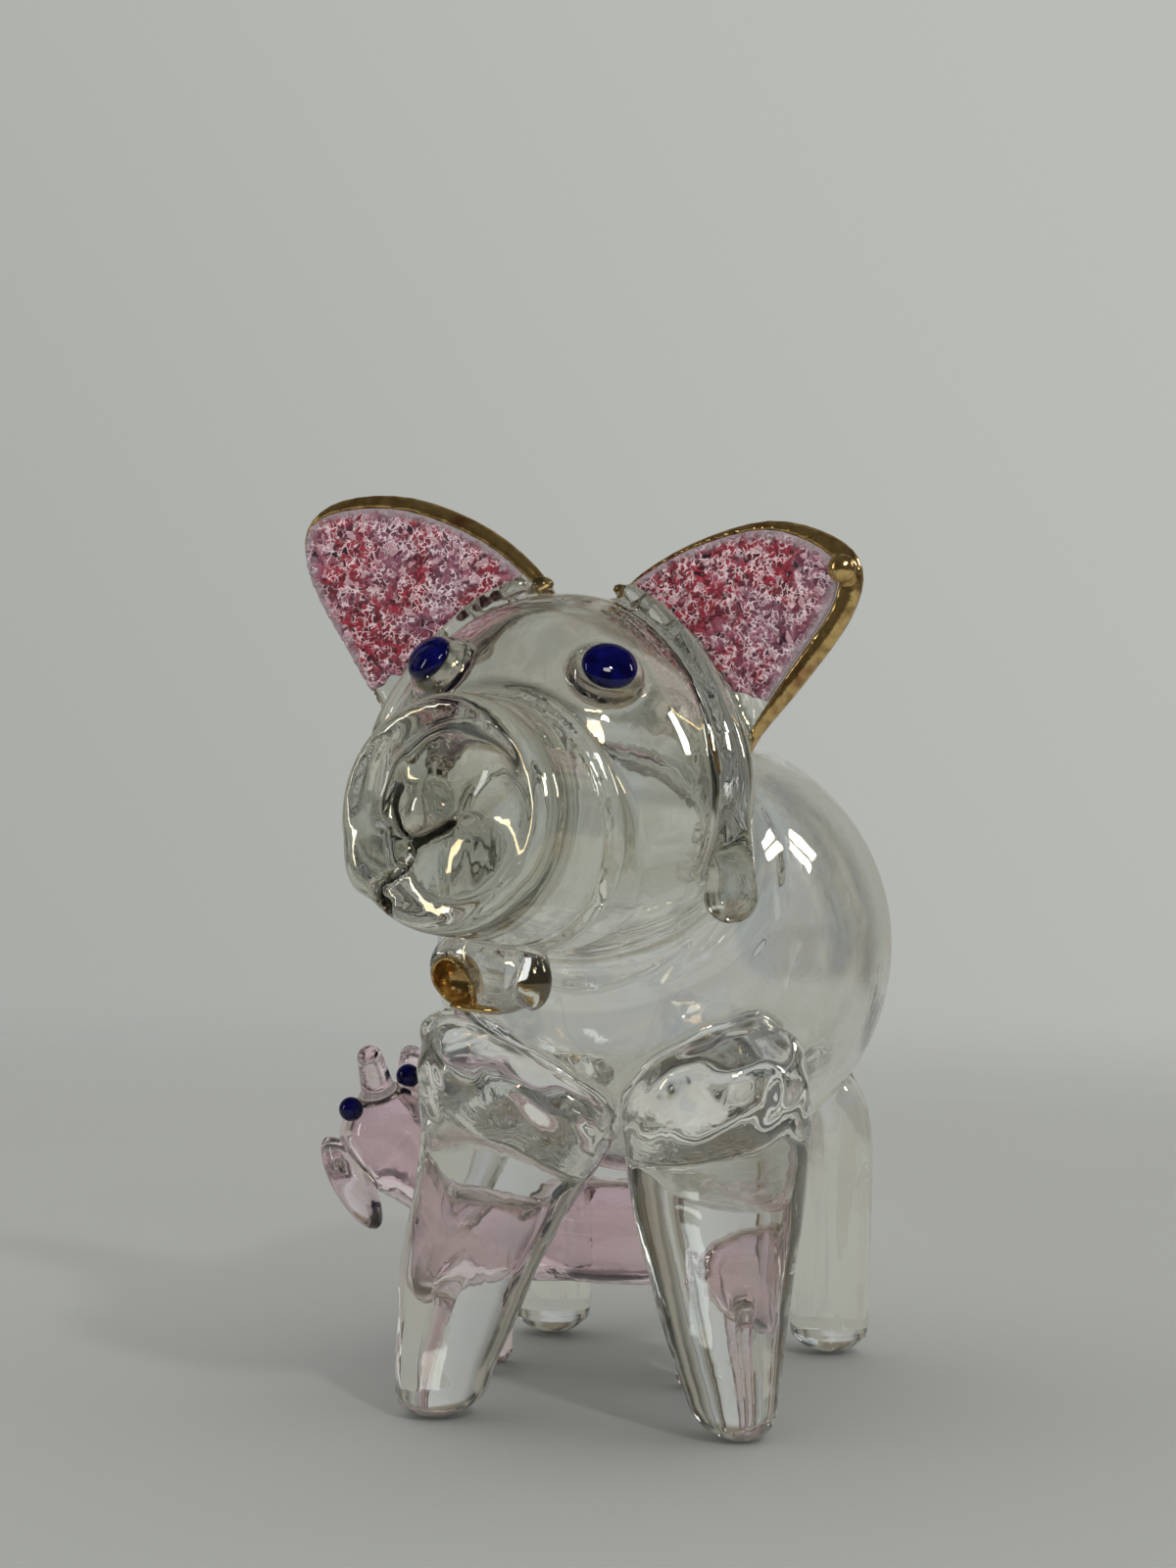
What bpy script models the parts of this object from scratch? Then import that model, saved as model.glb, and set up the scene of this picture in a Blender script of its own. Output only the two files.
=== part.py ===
# Blown and lampworked glass pig with a pink glass piglet under her belly.
# Metres, +Z up. She stands on z = 0 with her nose towards -Y, and her own left side is +X.
# Every gather of hot glass that was laid on is its own solid, with a seam gap to what it sits on.
import math

import bmesh
import bpy
from mathutils import Euler, Vector

# Seams and walls
SEAM = 0.0003
WALL = 0.0012
PIGLET_WALL = 0.0007

# Mother's body, an egg of blown glass
BODY_HALF_WIDTH = 0.0174
BODY_HALF_LENGTH = 0.0262
BODY_HALF_HEIGHT = 0.0178
BODY_FULLNESS = 2.3
BELLY_HEIGHT = 0.0169
CHEST_OVERHANG = 0.0044
BODY_SWAY = 0.0008
VENT_RADIUS = 0.0008

# Neck, a short wide tube between body and head
NECK_RADIUS = 0.0110
NECK_RISE = 0.0100
NECK_REACH = 0.0120
NECK_ROOT = Vector((0.0, 0.0085, 0.0008))
THROAT_RADIUS = 0.0080

# Head
HEAD_HALF_WIDTH = 0.0133
HEAD_HALF_LENGTH = 0.0128
HEAD_HALF_HEIGHT = 0.0127
HEAD_FULLNESS = 2.2
HEAD_PEAR = 0.10
HEAD_CENTRE = Vector((0.0, -0.0100, 0.0493))
HEAD_TURN = math.radians(-10.5)
HEAD_LEAN = math.radians(3.0)

# Snout drum
SNOUT_RADIUS = 0.0083
SNOUT_ROOT_RADIUS = 0.0087
SNOUT_LENGTH = 0.0093
SNOUT_RIM = 0.0012
SNOUT_DISH = 0.0005
SNOUT_ROOT_DEPTH = 0.0060
SNOUT_FOOT = Vector((0.0, -0.0085, -0.0036))
SNOUT_TURN = math.radians(-10.0)
SNOUT_TILT = math.radians(5.0)
NOSTRIL_WIDTH = 0.0034
NOSTRIL_HEIGHT = 0.0048
NOSTRIL_DEPTH = 0.0030
NOSTRIL_APART = 0.0068
NOSTRIL_RISE = 0.0017
NOSTRIL_SWAY = -0.0014
NOSTRIL_LEAN = math.radians(18.0)

# Mouth below the snout
LIP_HALF = Vector((0.0043, 0.0035, 0.0031))
LIP_CENTRE = Vector((-0.0009, -0.0078, -0.0136))
LIP_WALL = 0.0008
MOUTH_SHIFT = Vector((-0.0010, -0.0020, 0.0006))
GOLD_THICKNESS = 0.0005
LIP_KNOB_RADIUS = 0.0013

# Eyes
EYE_AROUND = math.radians(46.0)
EYE_BACK = math.radians(50.0)
EYE_BEAD_HALF = Vector((0.0024, 0.0021, 0.0015))
EYE_DOT_HALF = Vector((0.0019, 0.0016, 0.0009))
EYE_DOT_LIFT = 0.0013

# Ears, drawn in the plane across the head, from its centre
EAR_OUTLINE = (
    (0.0026, 0.0110), (0.0034, 0.0136), (0.0080, 0.0170), (0.0142, 0.0189),
    (0.0196, 0.0184), (0.0219, 0.0160), (0.0213, 0.0122), (0.0184, 0.0074),
    (0.0157, 0.0036), (0.0139, 0.0006), (0.0108, 0.0012), (0.0060, 0.0070),
)
EAR_RIM_FIRST = 1
EAR_RIM_LAST = 9
EAR_THICKNESS = 0.0017
EAR_BACK = 0.0012
EAR_CUP = 0.0018
EAR_RIM_RADIUS = 0.0007
FRIT_THICKNESS = 0.0006
FRIT_MARGIN = 0.0003
WELD_RADIUS = 0.0008
WELD_FROM = math.radians(19.0)
WELD_TO = math.radians(74.0)
CHEEK_RADIUS = 0.0012
CHEEK_DROP_RADIUS = 0.0020
CHEEK_FROM = math.radians(8.0)
CHEEK_TO = math.radians(-37.0)

# Front legs: height, centre from the middle line, half width, centre along the body, half depth
FOOT_APART = 0.0232
LEFT_SHANK = (
    (0.0, 0.0003, 0.0014, 0.0, 0.0016),
    (0.0005, 0.0002, 0.0021, 0.0, 0.0022),
    (0.0018, -0.0001, 0.0031, 0.0, 0.0031),
    (0.0045, -0.0005, 0.0038, 0.0, 0.0037),
    (0.0080, -0.0010, 0.0046, 0.0, 0.0043),
    (0.0120, -0.0014, 0.0054, 0.0, 0.0049),
    (0.0170, -0.0018, 0.0064, 0.0, 0.0055),
    (0.0220, -0.0019, 0.0069, -0.0004, 0.0062),
    (0.0253, -0.0017, 0.0068, -0.0012, 0.0062),
    (0.0281, -0.0007, 0.0055, -0.0020, 0.0055),
    (0.0300, 0.0006, 0.0034, -0.0010, 0.0040),
    (0.0315, 0.0012, 0.0, 0.0, 0.0),
)
RIGHT_SHANK = (
    (0.0, 0.0, 0.0021, 0.0, 0.0020),
    (0.0005, 0.0, 0.0028, 0.0, 0.0027),
    (0.0018, -0.0004, 0.0034, 0.0, 0.0033),
    (0.0045, -0.0008, 0.0039, 0.0, 0.0038),
    (0.0080, -0.0016, 0.0046, 0.0, 0.0044),
    (0.0120, -0.0025, 0.0053, 0.0, 0.0050),
    (0.0170, -0.0043, 0.0062, 0.0, 0.0056),
    (0.0220, -0.0061, 0.0074, -0.0004, 0.0062),
    (0.0250, -0.0056, 0.0069, -0.0012, 0.0062),
    (0.0276, -0.0036, 0.0046, -0.0018, 0.0055),
    (0.0298, -0.0012, 0.0024, -0.0008, 0.0038),
    (0.0312, -0.0002, 0.0, 0.0, 0.0),
)

# Rear legs, with the same five sizes at each height
REAR_APART = 0.0242
REAR_BACK = 0.0370
REAR_SHANK = (
    (0.0, 0.0, 0.0014, 0.0, 0.0014),
    (0.0006, 0.0, 0.0026, 0.0, 0.0026),
    (0.0020, 0.0, 0.0033, 0.0, 0.0033),
    (0.0110, 0.0, 0.0033, 0.0, 0.0033),
    (0.0190, -0.0002, 0.0034, -0.0004, 0.0036),
    (0.0235, -0.0016, 0.0033, -0.0010, 0.0038),
    (0.0268, -0.0036, 0.0023, -0.0016, 0.0028),
    (0.0285, -0.0046, 0.0, -0.0018, 0.0),
)

# Tail
TAIL_RADIUS = 0.0010
TAIL_CURL_RADIUS = 0.0022
TAIL_TURNS = 1.25
TAIL_LENGTH = 0.0058
TAIL_HEIGHT = 0.0055

# Piglet, crosswise under the belly, in its own frame with its nose towards -Y
PIGLET_PLACE = Vector((-0.0034, 0.0200, 0.0))
PIGLET_TURN = math.radians(-90.0)
PIGLET_HALF = Vector((0.0043, 0.0115, 0.0043))
PIGLET_FULLNESS = 2.2
PIGLET_BELLY = 0.0075
PIGLET_NECK_RADIUS = 0.0043
PIGLET_THROAT_RADIUS = 0.0028
PIGLET_HEAD_HALF = Vector((0.0042, 0.0045, 0.0042))
PIGLET_HEAD_PLACE = Vector((0.0002, -0.0181, 0.0184))
PIGLET_HEAD_POSE = Euler((math.radians(-113.0), math.radians(23.0), math.radians(-44.0)))
PIGLET_SNOUT_RADIUS = 0.0012
PIGLET_SNOUT_LENGTH = 0.0040
PIGLET_EYE_RADIUS = 0.0011
PIGLET_EYE_BACK = math.radians(48.0)
PIGLET_EYE_AROUND = math.radians(6.0)
PIGLET_EAR_HALF = Vector((0.0009, 0.0042, 0.0019))
PIGLET_LEFT_EAR_PLACE = Vector((0.0043, 0.0017, 0.0013))
PIGLET_LEFT_EAR_DROOP = math.radians(50.0)
PIGLET_RIGHT_EAR_PLACE = Vector((-0.0050, -0.0018, -0.0012))
PIGLET_RIGHT_EAR_DROOP = math.radians(37.0)
PIGLET_LEG_RADIUS = 0.0012
PIGLET_FOOT_RADIUS = 0.0008
PIGLET_LEGS_APART = 0.0050
PIGLET_LEGS_FRONT = -0.0095
PIGLET_LEGS_REAR = 0.0078
PIGLET_TAIL_RADIUS = 0.0005

# Smoothness
AROUND = 28
ALONG = 12
TUBE_SIDES = 8
LEG_SIDES = 16
LIP_AROUND = 18
LIP_ALONG = 9
BEAD_AROUND = 12
BEAD_ALONG = 7
PIGLET_AROUND = 18
PIGLET_ALONG = 9
PIGLET_LEG_SIDES = 12
EAR_STEPS = 3
TRAIL_STEPS = 10


def clear_scene():
    for obj in list(bpy.data.objects):
        bpy.data.objects.remove(obj, do_unlink=True)


def glass(name, colour, roughness=0.03):
    mat = bpy.data.materials.new(name)
    mat.use_nodes = True
    shader = mat.node_tree.nodes["Principled BSDF"]
    shader.inputs["Base Color"].default_value = (*colour, 1.0)
    shader.inputs["Roughness"].default_value = roughness
    shader.inputs["Transmission Weight"].default_value = 1.0
    shader.inputs["IOR"].default_value = 1.47
    mat.diffuse_color = (*colour, 1.0)
    return mat


def opaque(name, colour, roughness, metallic):
    mat = bpy.data.materials.new(name)
    mat.use_nodes = True
    shader = mat.node_tree.nodes["Principled BSDF"]
    shader.inputs["Base Color"].default_value = (*colour, 1.0)
    shader.inputs["Roughness"].default_value = roughness
    shader.inputs["Metallic"].default_value = metallic
    mat.diffuse_color = (*colour, 1.0)
    return mat


def frame(name, place, turn=None, parent=None):
    """An empty that carries the pieces made in its coordinates."""
    empty = bpy.data.objects.new(name, None)
    bpy.context.collection.objects.link(empty)
    empty.parent = parent
    empty.location = place
    if turn is not None:
        empty.rotation_euler = turn
    return empty


def skin(rings):
    """A closed mesh over rings of points. A ring of one point is a pole, and an end ring is capped."""
    bm = bmesh.new()
    rows = [[bm.verts.new(point) for point in ring] for ring in rings]
    for low, high in zip(rows, rows[1:]):
        sides = max(len(low), len(high))
        for i in range(sides):
            j = (i + 1) % sides
            corners = [low[i % len(low)], low[j % len(low)], high[j % len(high)], high[i % len(high)]]
            bm.faces.new(list(dict.fromkeys(corners)))
    for row in (rows[0], rows[-1]):
        if len(row) > 2:
            bm.faces.new(row)
    bmesh.ops.recalc_face_normals(bm, faces=bm.faces)
    return bm


def piece(name, bm, mat, parent=None, place=(0.0, 0.0, 0.0), turn=None):
    mesh = bpy.data.meshes.new(name)
    bm.to_mesh(mesh)
    bm.free()
    mesh.shade_smooth()
    mesh.set_sharp_from_angle(angle=math.radians(50.0))
    obj = bpy.data.objects.new(name, mesh)
    bpy.context.collection.objects.link(obj)
    obj.parent = parent
    obj.location = place
    if turn is not None:
        obj.rotation_euler = turn
    if mat is not None:
        mesh.materials.append(mat)
    return obj


def helper(name, bm, parent=None, place=(0.0, 0.0, 0.0), turn=None):
    """A shape that only cuts or joins another one."""
    obj = piece(name, bm, None, parent, place, turn)
    obj.hide_render = True
    obj.display_type = "WIRE"
    return obj


def combine(obj, operation, *others):
    for other in others:
        mod = obj.modifiers.new(other.name, "BOOLEAN")
        mod.operation = operation
        mod.object = other


def mirrored(points, side):
    return [Vector((p[0] * side, *p[1:])) for p in points]


def egg_point(half, fullness, back, around, pear=0.0):
    """A point on an egg along Y. back is 0 at the front pole, and around is 0 towards +X."""
    reach = math.cos(back)
    girth = max(0.0, 1.0 - abs(reach) ** fullness) ** (1.0 / fullness)
    across = half[0] * girth * math.cos(around) * (1.0 - pear * math.sin(around))
    return Vector((across, -half[1] * reach, half[2] * girth * math.sin(around)))


def egg(half, fullness=2.0, pear=0.0, around=AROUND, along=ALONG):
    rings = [[egg_point(half, fullness, 0.0, 0.0)]]
    for i in range(1, along):
        back = math.pi * i / along
        rings.append(
            [egg_point(half, fullness, back, math.tau * j / around, pear) for j in range(around)]
        )
    rings.append([egg_point(half, fullness, math.pi, 0.0)])
    return skin(rings)


def bead_egg(half):
    """A small egg, with fewer faces."""
    return egg(half, around=BEAD_AROUND, along=BEAD_ALONG)


def lip_egg(half):
    return egg(half, around=LIP_AROUND, along=LIP_ALONG)


def grown(half, by):
    return Vector(half) + Vector((by, by, by))


def rod(radii, sides=TUBE_SIDES):
    """A turned rod along +Z from (height, radius) pairs. A radius of nought is a pole."""
    turns = [math.tau * i / sides for i in range(sides)]
    rings = []
    for height, radius in radii:
        around = turns if radius > 0.0 else turns[:1]
        rings.append([Vector((radius * math.cos(a), radius * math.sin(a), height)) for a in around])
    return skin(rings)


def trail(path, start_radius, end_radius, sides=TUBE_SIDES):
    """A round trail of glass along a path, with domed ends."""
    last = len(path) - 1
    turns = [math.tau * i / sides for i in range(sides)]
    rings = []
    side = None
    for i, point in enumerate(path):
        radius = start_radius + (end_radius - start_radius) * i / last
        dome = 0.7 * radius
        ahead = (path[min(i + 1, last)] - path[max(i - 1, 0)]).normalized()
        if side is None:
            side = ahead.orthogonal()
        side = (side - ahead * side.dot(ahead)).normalized()
        other = ahead.cross(side)
        spokes = [side * math.cos(a) + other * math.sin(a) for a in turns]
        if i == 0:
            rings.append([point - ahead * radius])
            rings.append([point - ahead * dome + spoke * dome for spoke in spokes])
        rings.append([point + spoke * radius for spoke in spokes])
        if i == last:
            rings.append([point + ahead * dome + spoke * dome for spoke in spokes])
            rings.append([point + ahead * radius])
    return skin(rings)


def flowing(points, steps, closed):
    """A smooth line through points, with so many steps between each two."""
    count = len(points)
    line = []
    for i in range(count if closed else count - 1):
        places = [i - 1, i, i + 1, i + 2]
        if not closed:
            places = [min(max(k, 0), count - 1) for k in places]
        near = [points[k % count] for k in places]
        for step in range(steps):
            t = step / steps
            weights = (
                -0.5 * t + t * t - 0.5 * t**3,
                1.0 - 2.5 * t * t + 1.5 * t**3,
                0.5 * t + 2.0 * t * t - 1.5 * t**3,
                -0.5 * t * t + 0.5 * t**3,
            )
            start = Vector((0.0,) * len(points[0]))
            line.append(sum((p * w for p, w in zip(near, weights)), start))
    if not closed:
        line.append(Vector(points[-1]))
    return line


def inset(outline, by):
    """The outline moved inwards. It runs clockwise, so the inside is on its right."""
    moved = []
    count = len(outline)
    for i, point in enumerate(outline):
        ahead = (outline[(i + 1) % count] - outline[i - 1]).normalized()
        moved.append(point + Vector((ahead.y, -ahead.x)) * by)
    return moved


def body_parts(root, mats):
    """The body bubble with its neck, and the helper that seats what was laid on it."""
    half = Vector((BODY_HALF_WIDTH, BODY_HALF_LENGTH, BODY_HALF_HEIGHT))
    centre = Vector((BODY_SWAY, BODY_HALF_LENGTH - CHEST_OVERHANG, BELLY_HEIGHT + BODY_HALF_HEIGHT))
    body = frame("body_frame", centre, parent=root)
    bubble = piece("body_bubble", egg(half, BODY_FULLNESS), mats["clear"], body)
    seat = helper("body_seat", egg(grown(half, SEAM), BODY_FULLNESS), body)
    hollow = helper("body_hollow", egg(grown(half, -WALL), BODY_FULLNESS), body)

    neck_root = Vector((0.0, NECK_ROOT.y, centre.z + NECK_ROOT.z))
    axis = Vector((0.0, -NECK_REACH, NECK_RISE))
    lean = Vector((0.0, 0.0, 1.0)).rotation_difference(axis).to_euler()

    def neck_rod(name, radius, start):
        profile = ((start, radius), (axis.length + start, radius))
        return helper(name, rod(profile, AROUND), root, neck_root, lean)

    neck = neck_rod("neck_outside", NECK_RADIUS, 0.0)
    bore = neck_rod("neck_bore", NECK_RADIUS - WALL, WALL)
    neck_seat = neck_rod("neck_seat", NECK_RADIUS + SEAM, 0.0)
    throat = neck_rod("throat_bore", THROAT_RADIUS, WALL)

    vent_profile = ((-2.0 * WALL, VENT_RADIUS), (2.0 * WALL, VENT_RADIUS))
    vent_place = centre + Vector((0.0, BODY_HALF_LENGTH, 0.0))
    vent = helper("vent_bore", rod(vent_profile), root, vent_place, (math.radians(90.0), 0.0, 0.0))
    return bubble, seat, (neck, hollow, bore, vent), neck_seat, throat, body


def head_egg(half):
    return egg(half, HEAD_FULLNESS, HEAD_PEAR)


def head_parts(root, mats, throat):
    half = Vector((HEAD_HALF_WIDTH, HEAD_HALF_LENGTH, HEAD_HALF_HEIGHT))
    head = frame("head_frame", HEAD_CENTRE, Euler((0.0, HEAD_LEAN, HEAD_TURN)), root)
    bubble = piece("head_bubble", head_egg(half), mats["clear"], head)
    hollow = helper("head_hollow", head_egg(grown(half, -WALL)), head)
    seat = helper("head_seat", head_egg(grown(half, SEAM)), head)
    combine(bubble, "DIFFERENCE", hollow, throat)
    return head, half, seat


def snout_parts(head, mats, head_seat):
    place = SNOUT_FOOT
    turn = Euler((math.radians(90.0) - SNOUT_TILT, 0.0, SNOUT_TURN))
    rim = SNOUT_RIM
    profile = (
        (-SNOUT_ROOT_DEPTH, 0.0),
        (-SNOUT_ROOT_DEPTH, SNOUT_ROOT_RADIUS - 3.0 * rim),
        (0.0, SNOUT_ROOT_RADIUS),
        (SNOUT_LENGTH - 3.0 * rim, SNOUT_RADIUS - 0.3 * rim),
        (SNOUT_LENGTH - rim, SNOUT_RADIUS),
        (SNOUT_LENGTH - 0.3 * rim, SNOUT_RADIUS - 0.3 * rim),
        (SNOUT_LENGTH, SNOUT_RADIUS - rim),
        (SNOUT_LENGTH - 0.5 * SNOUT_DISH, SNOUT_RADIUS - 2.0 * rim),
        (SNOUT_LENGTH - SNOUT_DISH, SNOUT_RADIUS - 3.5 * rim),
        (SNOUT_LENGTH - SNOUT_DISH, 0.0),
    )
    snout = piece("snout", rod(profile, AROUND), mats["clear"], head, place, turn)
    combine(snout, "DIFFERENCE", head_seat)
    for side, word in ((1, "left"), (-1, "right")):
        half = (NOSTRIL_WIDTH / 2.0, NOSTRIL_DEPTH, NOSTRIL_HEIGHT / 2.0)
        across = NOSTRIL_SWAY + side * NOSTRIL_APART / 2.0
        spot = Vector((across, NOSTRIL_RISE, SNOUT_LENGTH - SNOUT_DISH))
        lean = (math.radians(-90.0), 0.0, side * NOSTRIL_LEAN)
        poke = helper(f"nostril_poke_{word}", bead_egg(half), snout, spot, lean)
        combine(snout, "DIFFERENCE", poke)
    seat_profile = [(height, radius + SEAM if radius else 0.0) for height, radius in profile]
    seat_profile[-1] = (SNOUT_LENGTH, 0.0)
    return helper("snout_seat", rod(seat_profile, AROUND), head, place, turn)


def mouth_parts(head, mats, head_seat, snout_seat):
    """A clear scoop under the snout, with gold melted into it and a round end."""
    cup_half = grown(LIP_HALF, -LIP_WALL)
    gold_half = grown(cup_half, -SEAM)
    mouth_place = LIP_CENTRE + MOUTH_SHIFT
    gold_cup_place = mouth_place + Vector((0.0, -2.0 * GOLD_THICKNESS, GOLD_THICKNESS))
    knob_half = Vector((LIP_KNOB_RADIUS,) * 3)
    knob_place = LIP_CENTRE + Vector((LIP_HALF.x, -0.4 * LIP_HALF.y, LIP_KNOB_RADIUS))

    lip = piece("lower_lip", lip_egg(LIP_HALF), mats["clear"], head, LIP_CENTRE)
    gold = piece("gold_lip_lining", lip_egg(gold_half), mats["gold"], head, mouth_place)
    knob = piece("lip_knob", bead_egg(knob_half), mats["clear"], head, knob_place)
    cup = helper("lip_cup", lip_egg(cup_half), head, mouth_place)
    gold_cup = helper("gold_cup", lip_egg(gold_half), head, gold_cup_place)
    knob_seat = helper("lip_knob_seat", bead_egg(grown(knob_half, SEAM)), head, knob_place)
    combine(lip, "DIFFERENCE", cup, head_seat, snout_seat, knob_seat)
    combine(gold, "DIFFERENCE", gold_cup, head_seat, snout_seat, knob_seat)
    combine(knob, "DIFFERENCE", head_seat, snout_seat)


def eye_parts(head, head_half, mats, head_seat):
    for side, word in ((1, "left"), (-1, "right")):
        spot = egg_point(head_half, HEAD_FULLNESS, EYE_BACK, EYE_AROUND, HEAD_PEAR)
        spot.x *= side
        outward = spot.normalized()
        aim = outward.to_track_quat("Z", "Y").to_euler()
        lifted = spot + outward * EYE_DOT_LIFT
        bead = piece(f"eye_bead_{word}", bead_egg(EYE_BEAD_HALF), mats["clear"], head, spot, aim)
        bead_seat = helper(f"eye_bead_seat_{word}", bead_egg(grown(EYE_BEAD_HALF, SEAM)), head, spot, aim)
        dot = piece(f"eye_dot_{word}", bead_egg(EYE_DOT_HALF), mats["blue"], head, lifted, aim)
        combine(bead, "DIFFERENCE", head_seat)
        combine(dot, "DIFFERENCE", bead_seat, head_seat)


def ear_depth(x):
    """How far back the middle of the ear lies: it cups forward towards its tip."""
    return EAR_BACK - EAR_CUP * (x / EAR_OUTLINE[5][0]) ** 2


def leaf(outline, front, thickness, side):
    """A cupped plate over the outline, its face at a distance in front of the ear's middle."""
    middle = sum(outline, Vector((0.0, 0.0))) / len(outline)
    spreads = (1.0, 0.72, 0.4)

    def ring(spread, depth):
        points = [middle + (p - middle) * spread for p in outline]
        return mirrored([(p.x, ear_depth(p.x) + depth, p.y) for p in points], side)

    def pole(depth):
        return mirrored([(middle.x, ear_depth(middle.x) + depth, middle.y)], side)

    face = -front
    back = thickness - front
    rings = [pole(face)] + [ring(s, face) for s in reversed(spreads)]
    rings += [ring(s, back) for s in spreads] + [pole(back)]
    return skin(rings)


def ear_parts(head, head_half, mats, head_seat, neck_seat):
    margin = 2.0 * SEAM + 2.0 * WELD_RADIUS
    corners = [Vector(p) for p in EAR_OUTLINE]
    rim_inset = EAR_RIM_RADIUS
    plate_inset = 2.0 * EAR_RIM_RADIUS + SEAM

    def drawn(by):
        return flowing(inset(corners, by), EAR_STEPS, closed=True)

    plate_outline = drawn(plate_inset)
    frit_outline = drawn(plate_inset + FRIT_MARGIN)
    rim_line = drawn(rim_inset)[EAR_STEPS * EAR_RIM_FIRST:EAR_STEPS * EAR_RIM_LAST + 1]
    frit_front = EAR_THICKNESS / 2.0 + SEAM + FRIT_THICKNESS
    frit_seat = helper("frit_margin", head_egg(grown(head_half, margin)), head)

    def over_head(start_radius, end_radius, first, last, side):
        """The middle of a trail laid over the head, just in front of the ear."""
        line = []
        for i in range(TRAIL_STEPS + 1):
            share = i / TRAIL_STEPS
            radius = start_radius + (end_radius - start_radius) * share
            around = first + (last - first) * share
            half = grown(head_half, SEAM + radius)
            point = egg_point(half, HEAD_FULLNESS, math.pi / 2.0, around, HEAD_PEAR)
            point.y = ear_depth(point.x) - EAR_THICKNESS / 2.0 - SEAM - radius
            line.append(point)
        return mirrored(line, side)

    for side, word in ((1, "left"), (-1, "right")):
        plate_skin = leaf(plate_outline, EAR_THICKNESS / 2.0, EAR_THICKNESS, side)
        plate = piece(f"ear_{word}", plate_skin, mats["clear"], head)
        frit_skin = leaf(frit_outline, frit_front, FRIT_THICKNESS, side)
        frit = piece(f"ear_frit_{word}", frit_skin, mats["pink"], head)
        rim_path = mirrored([(p.x, ear_depth(p.x), p.y) for p in rim_line], side)
        rim_skin = trail(rim_path, EAR_RIM_RADIUS, EAR_RIM_RADIUS)
        rim = piece(f"ear_gold_rim_{word}", rim_skin, mats["gold"], head)
        weld_path = over_head(WELD_RADIUS, WELD_RADIUS, WELD_FROM, WELD_TO, side)
        piece(f"ear_weld_{word}", trail(weld_path, WELD_RADIUS, WELD_RADIUS), mats["clear"], head)
        cheek_path = over_head(CHEEK_RADIUS, CHEEK_DROP_RADIUS, CHEEK_FROM, CHEEK_TO, side)
        cheek_skin = trail(cheek_path, CHEEK_RADIUS, CHEEK_DROP_RADIUS)
        cheek = piece(f"cheek_trail_{word}", cheek_skin, mats["clear"], head)
        combine(plate, "DIFFERENCE", head_seat)
        combine(frit, "DIFFERENCE", frit_seat)
        combine(rim, "DIFFERENCE", head_seat)
        combine(cheek, "DIFFERENCE", head_seat, neck_seat)


def leg_skin(shank, side, apart, back, steps):
    """A leg lofted through oval rings that stand level at each height of its shank."""
    stations = [
        Vector((height, side * (apart / 2.0 + across), half_width, back + along, half_depth))
        for height, across, half_width, along, half_depth in shank
    ]
    turns = [math.tau * i / LEG_SIDES for i in range(LEG_SIDES)]
    rings = []
    for height, across, half_width, along, half_depth in flowing(stations, steps, closed=False):
        if half_width <= 0.0:
            rings.append([Vector((across, along, height))])
            continue
        ring = []
        for turn in turns:
            x = across + half_width * math.cos(turn)
            y = along + half_depth * math.sin(turn)
            ring.append(Vector((x, y, height)))
        rings.append(ring)
    return skin(rings)


def leg_parts(root, mats, body_seat):
    for side, word, shank in ((1, "left", LEFT_SHANK), (-1, "right", RIGHT_SHANK)):
        front_skin = leg_skin(shank, side, FOOT_APART, 0.0, 2)
        front = piece(f"front_leg_{word}", front_skin, mats["clear"], root)
        rear_skin = leg_skin(REAR_SHANK, side, REAR_APART, REAR_BACK, 1)
        rear = piece(f"rear_leg_{word}", rear_skin, mats["clear"], root)
        combine(front, "DIFFERENCE", body_seat)
        combine(rear, "DIFFERENCE", body_seat)


def curl(radius, length, turns, start):
    """A corkscrew line along +Y that opens out from its start."""
    line = []
    for i in range(25):
        t = i / 24
        angle = math.tau * turns * t
        size = radius * min(1.0, 3.0 * t)
        line.append(start + Vector((size * math.sin(angle), length * t, size * (1.0 - math.cos(angle)))))
    return line


def tail_part(body, mats, body_seat):
    start = Vector((0.0, BODY_HALF_LENGTH - 2.0 * WALL, TAIL_HEIGHT))
    path = curl(TAIL_CURL_RADIUS, TAIL_LENGTH, TAIL_TURNS, start)
    tail = piece("tail", trail(path, TAIL_RADIUS, 0.6 * TAIL_RADIUS), mats["clear"], body)
    combine(tail, "DIFFERENCE", body_seat)


def piglet_body_egg(half):
    return egg(half, PIGLET_FULLNESS, 0.0, PIGLET_AROUND, PIGLET_ALONG)


def piglet_head_egg(half):
    return egg(half, around=PIGLET_AROUND, along=PIGLET_ALONG)


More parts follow.
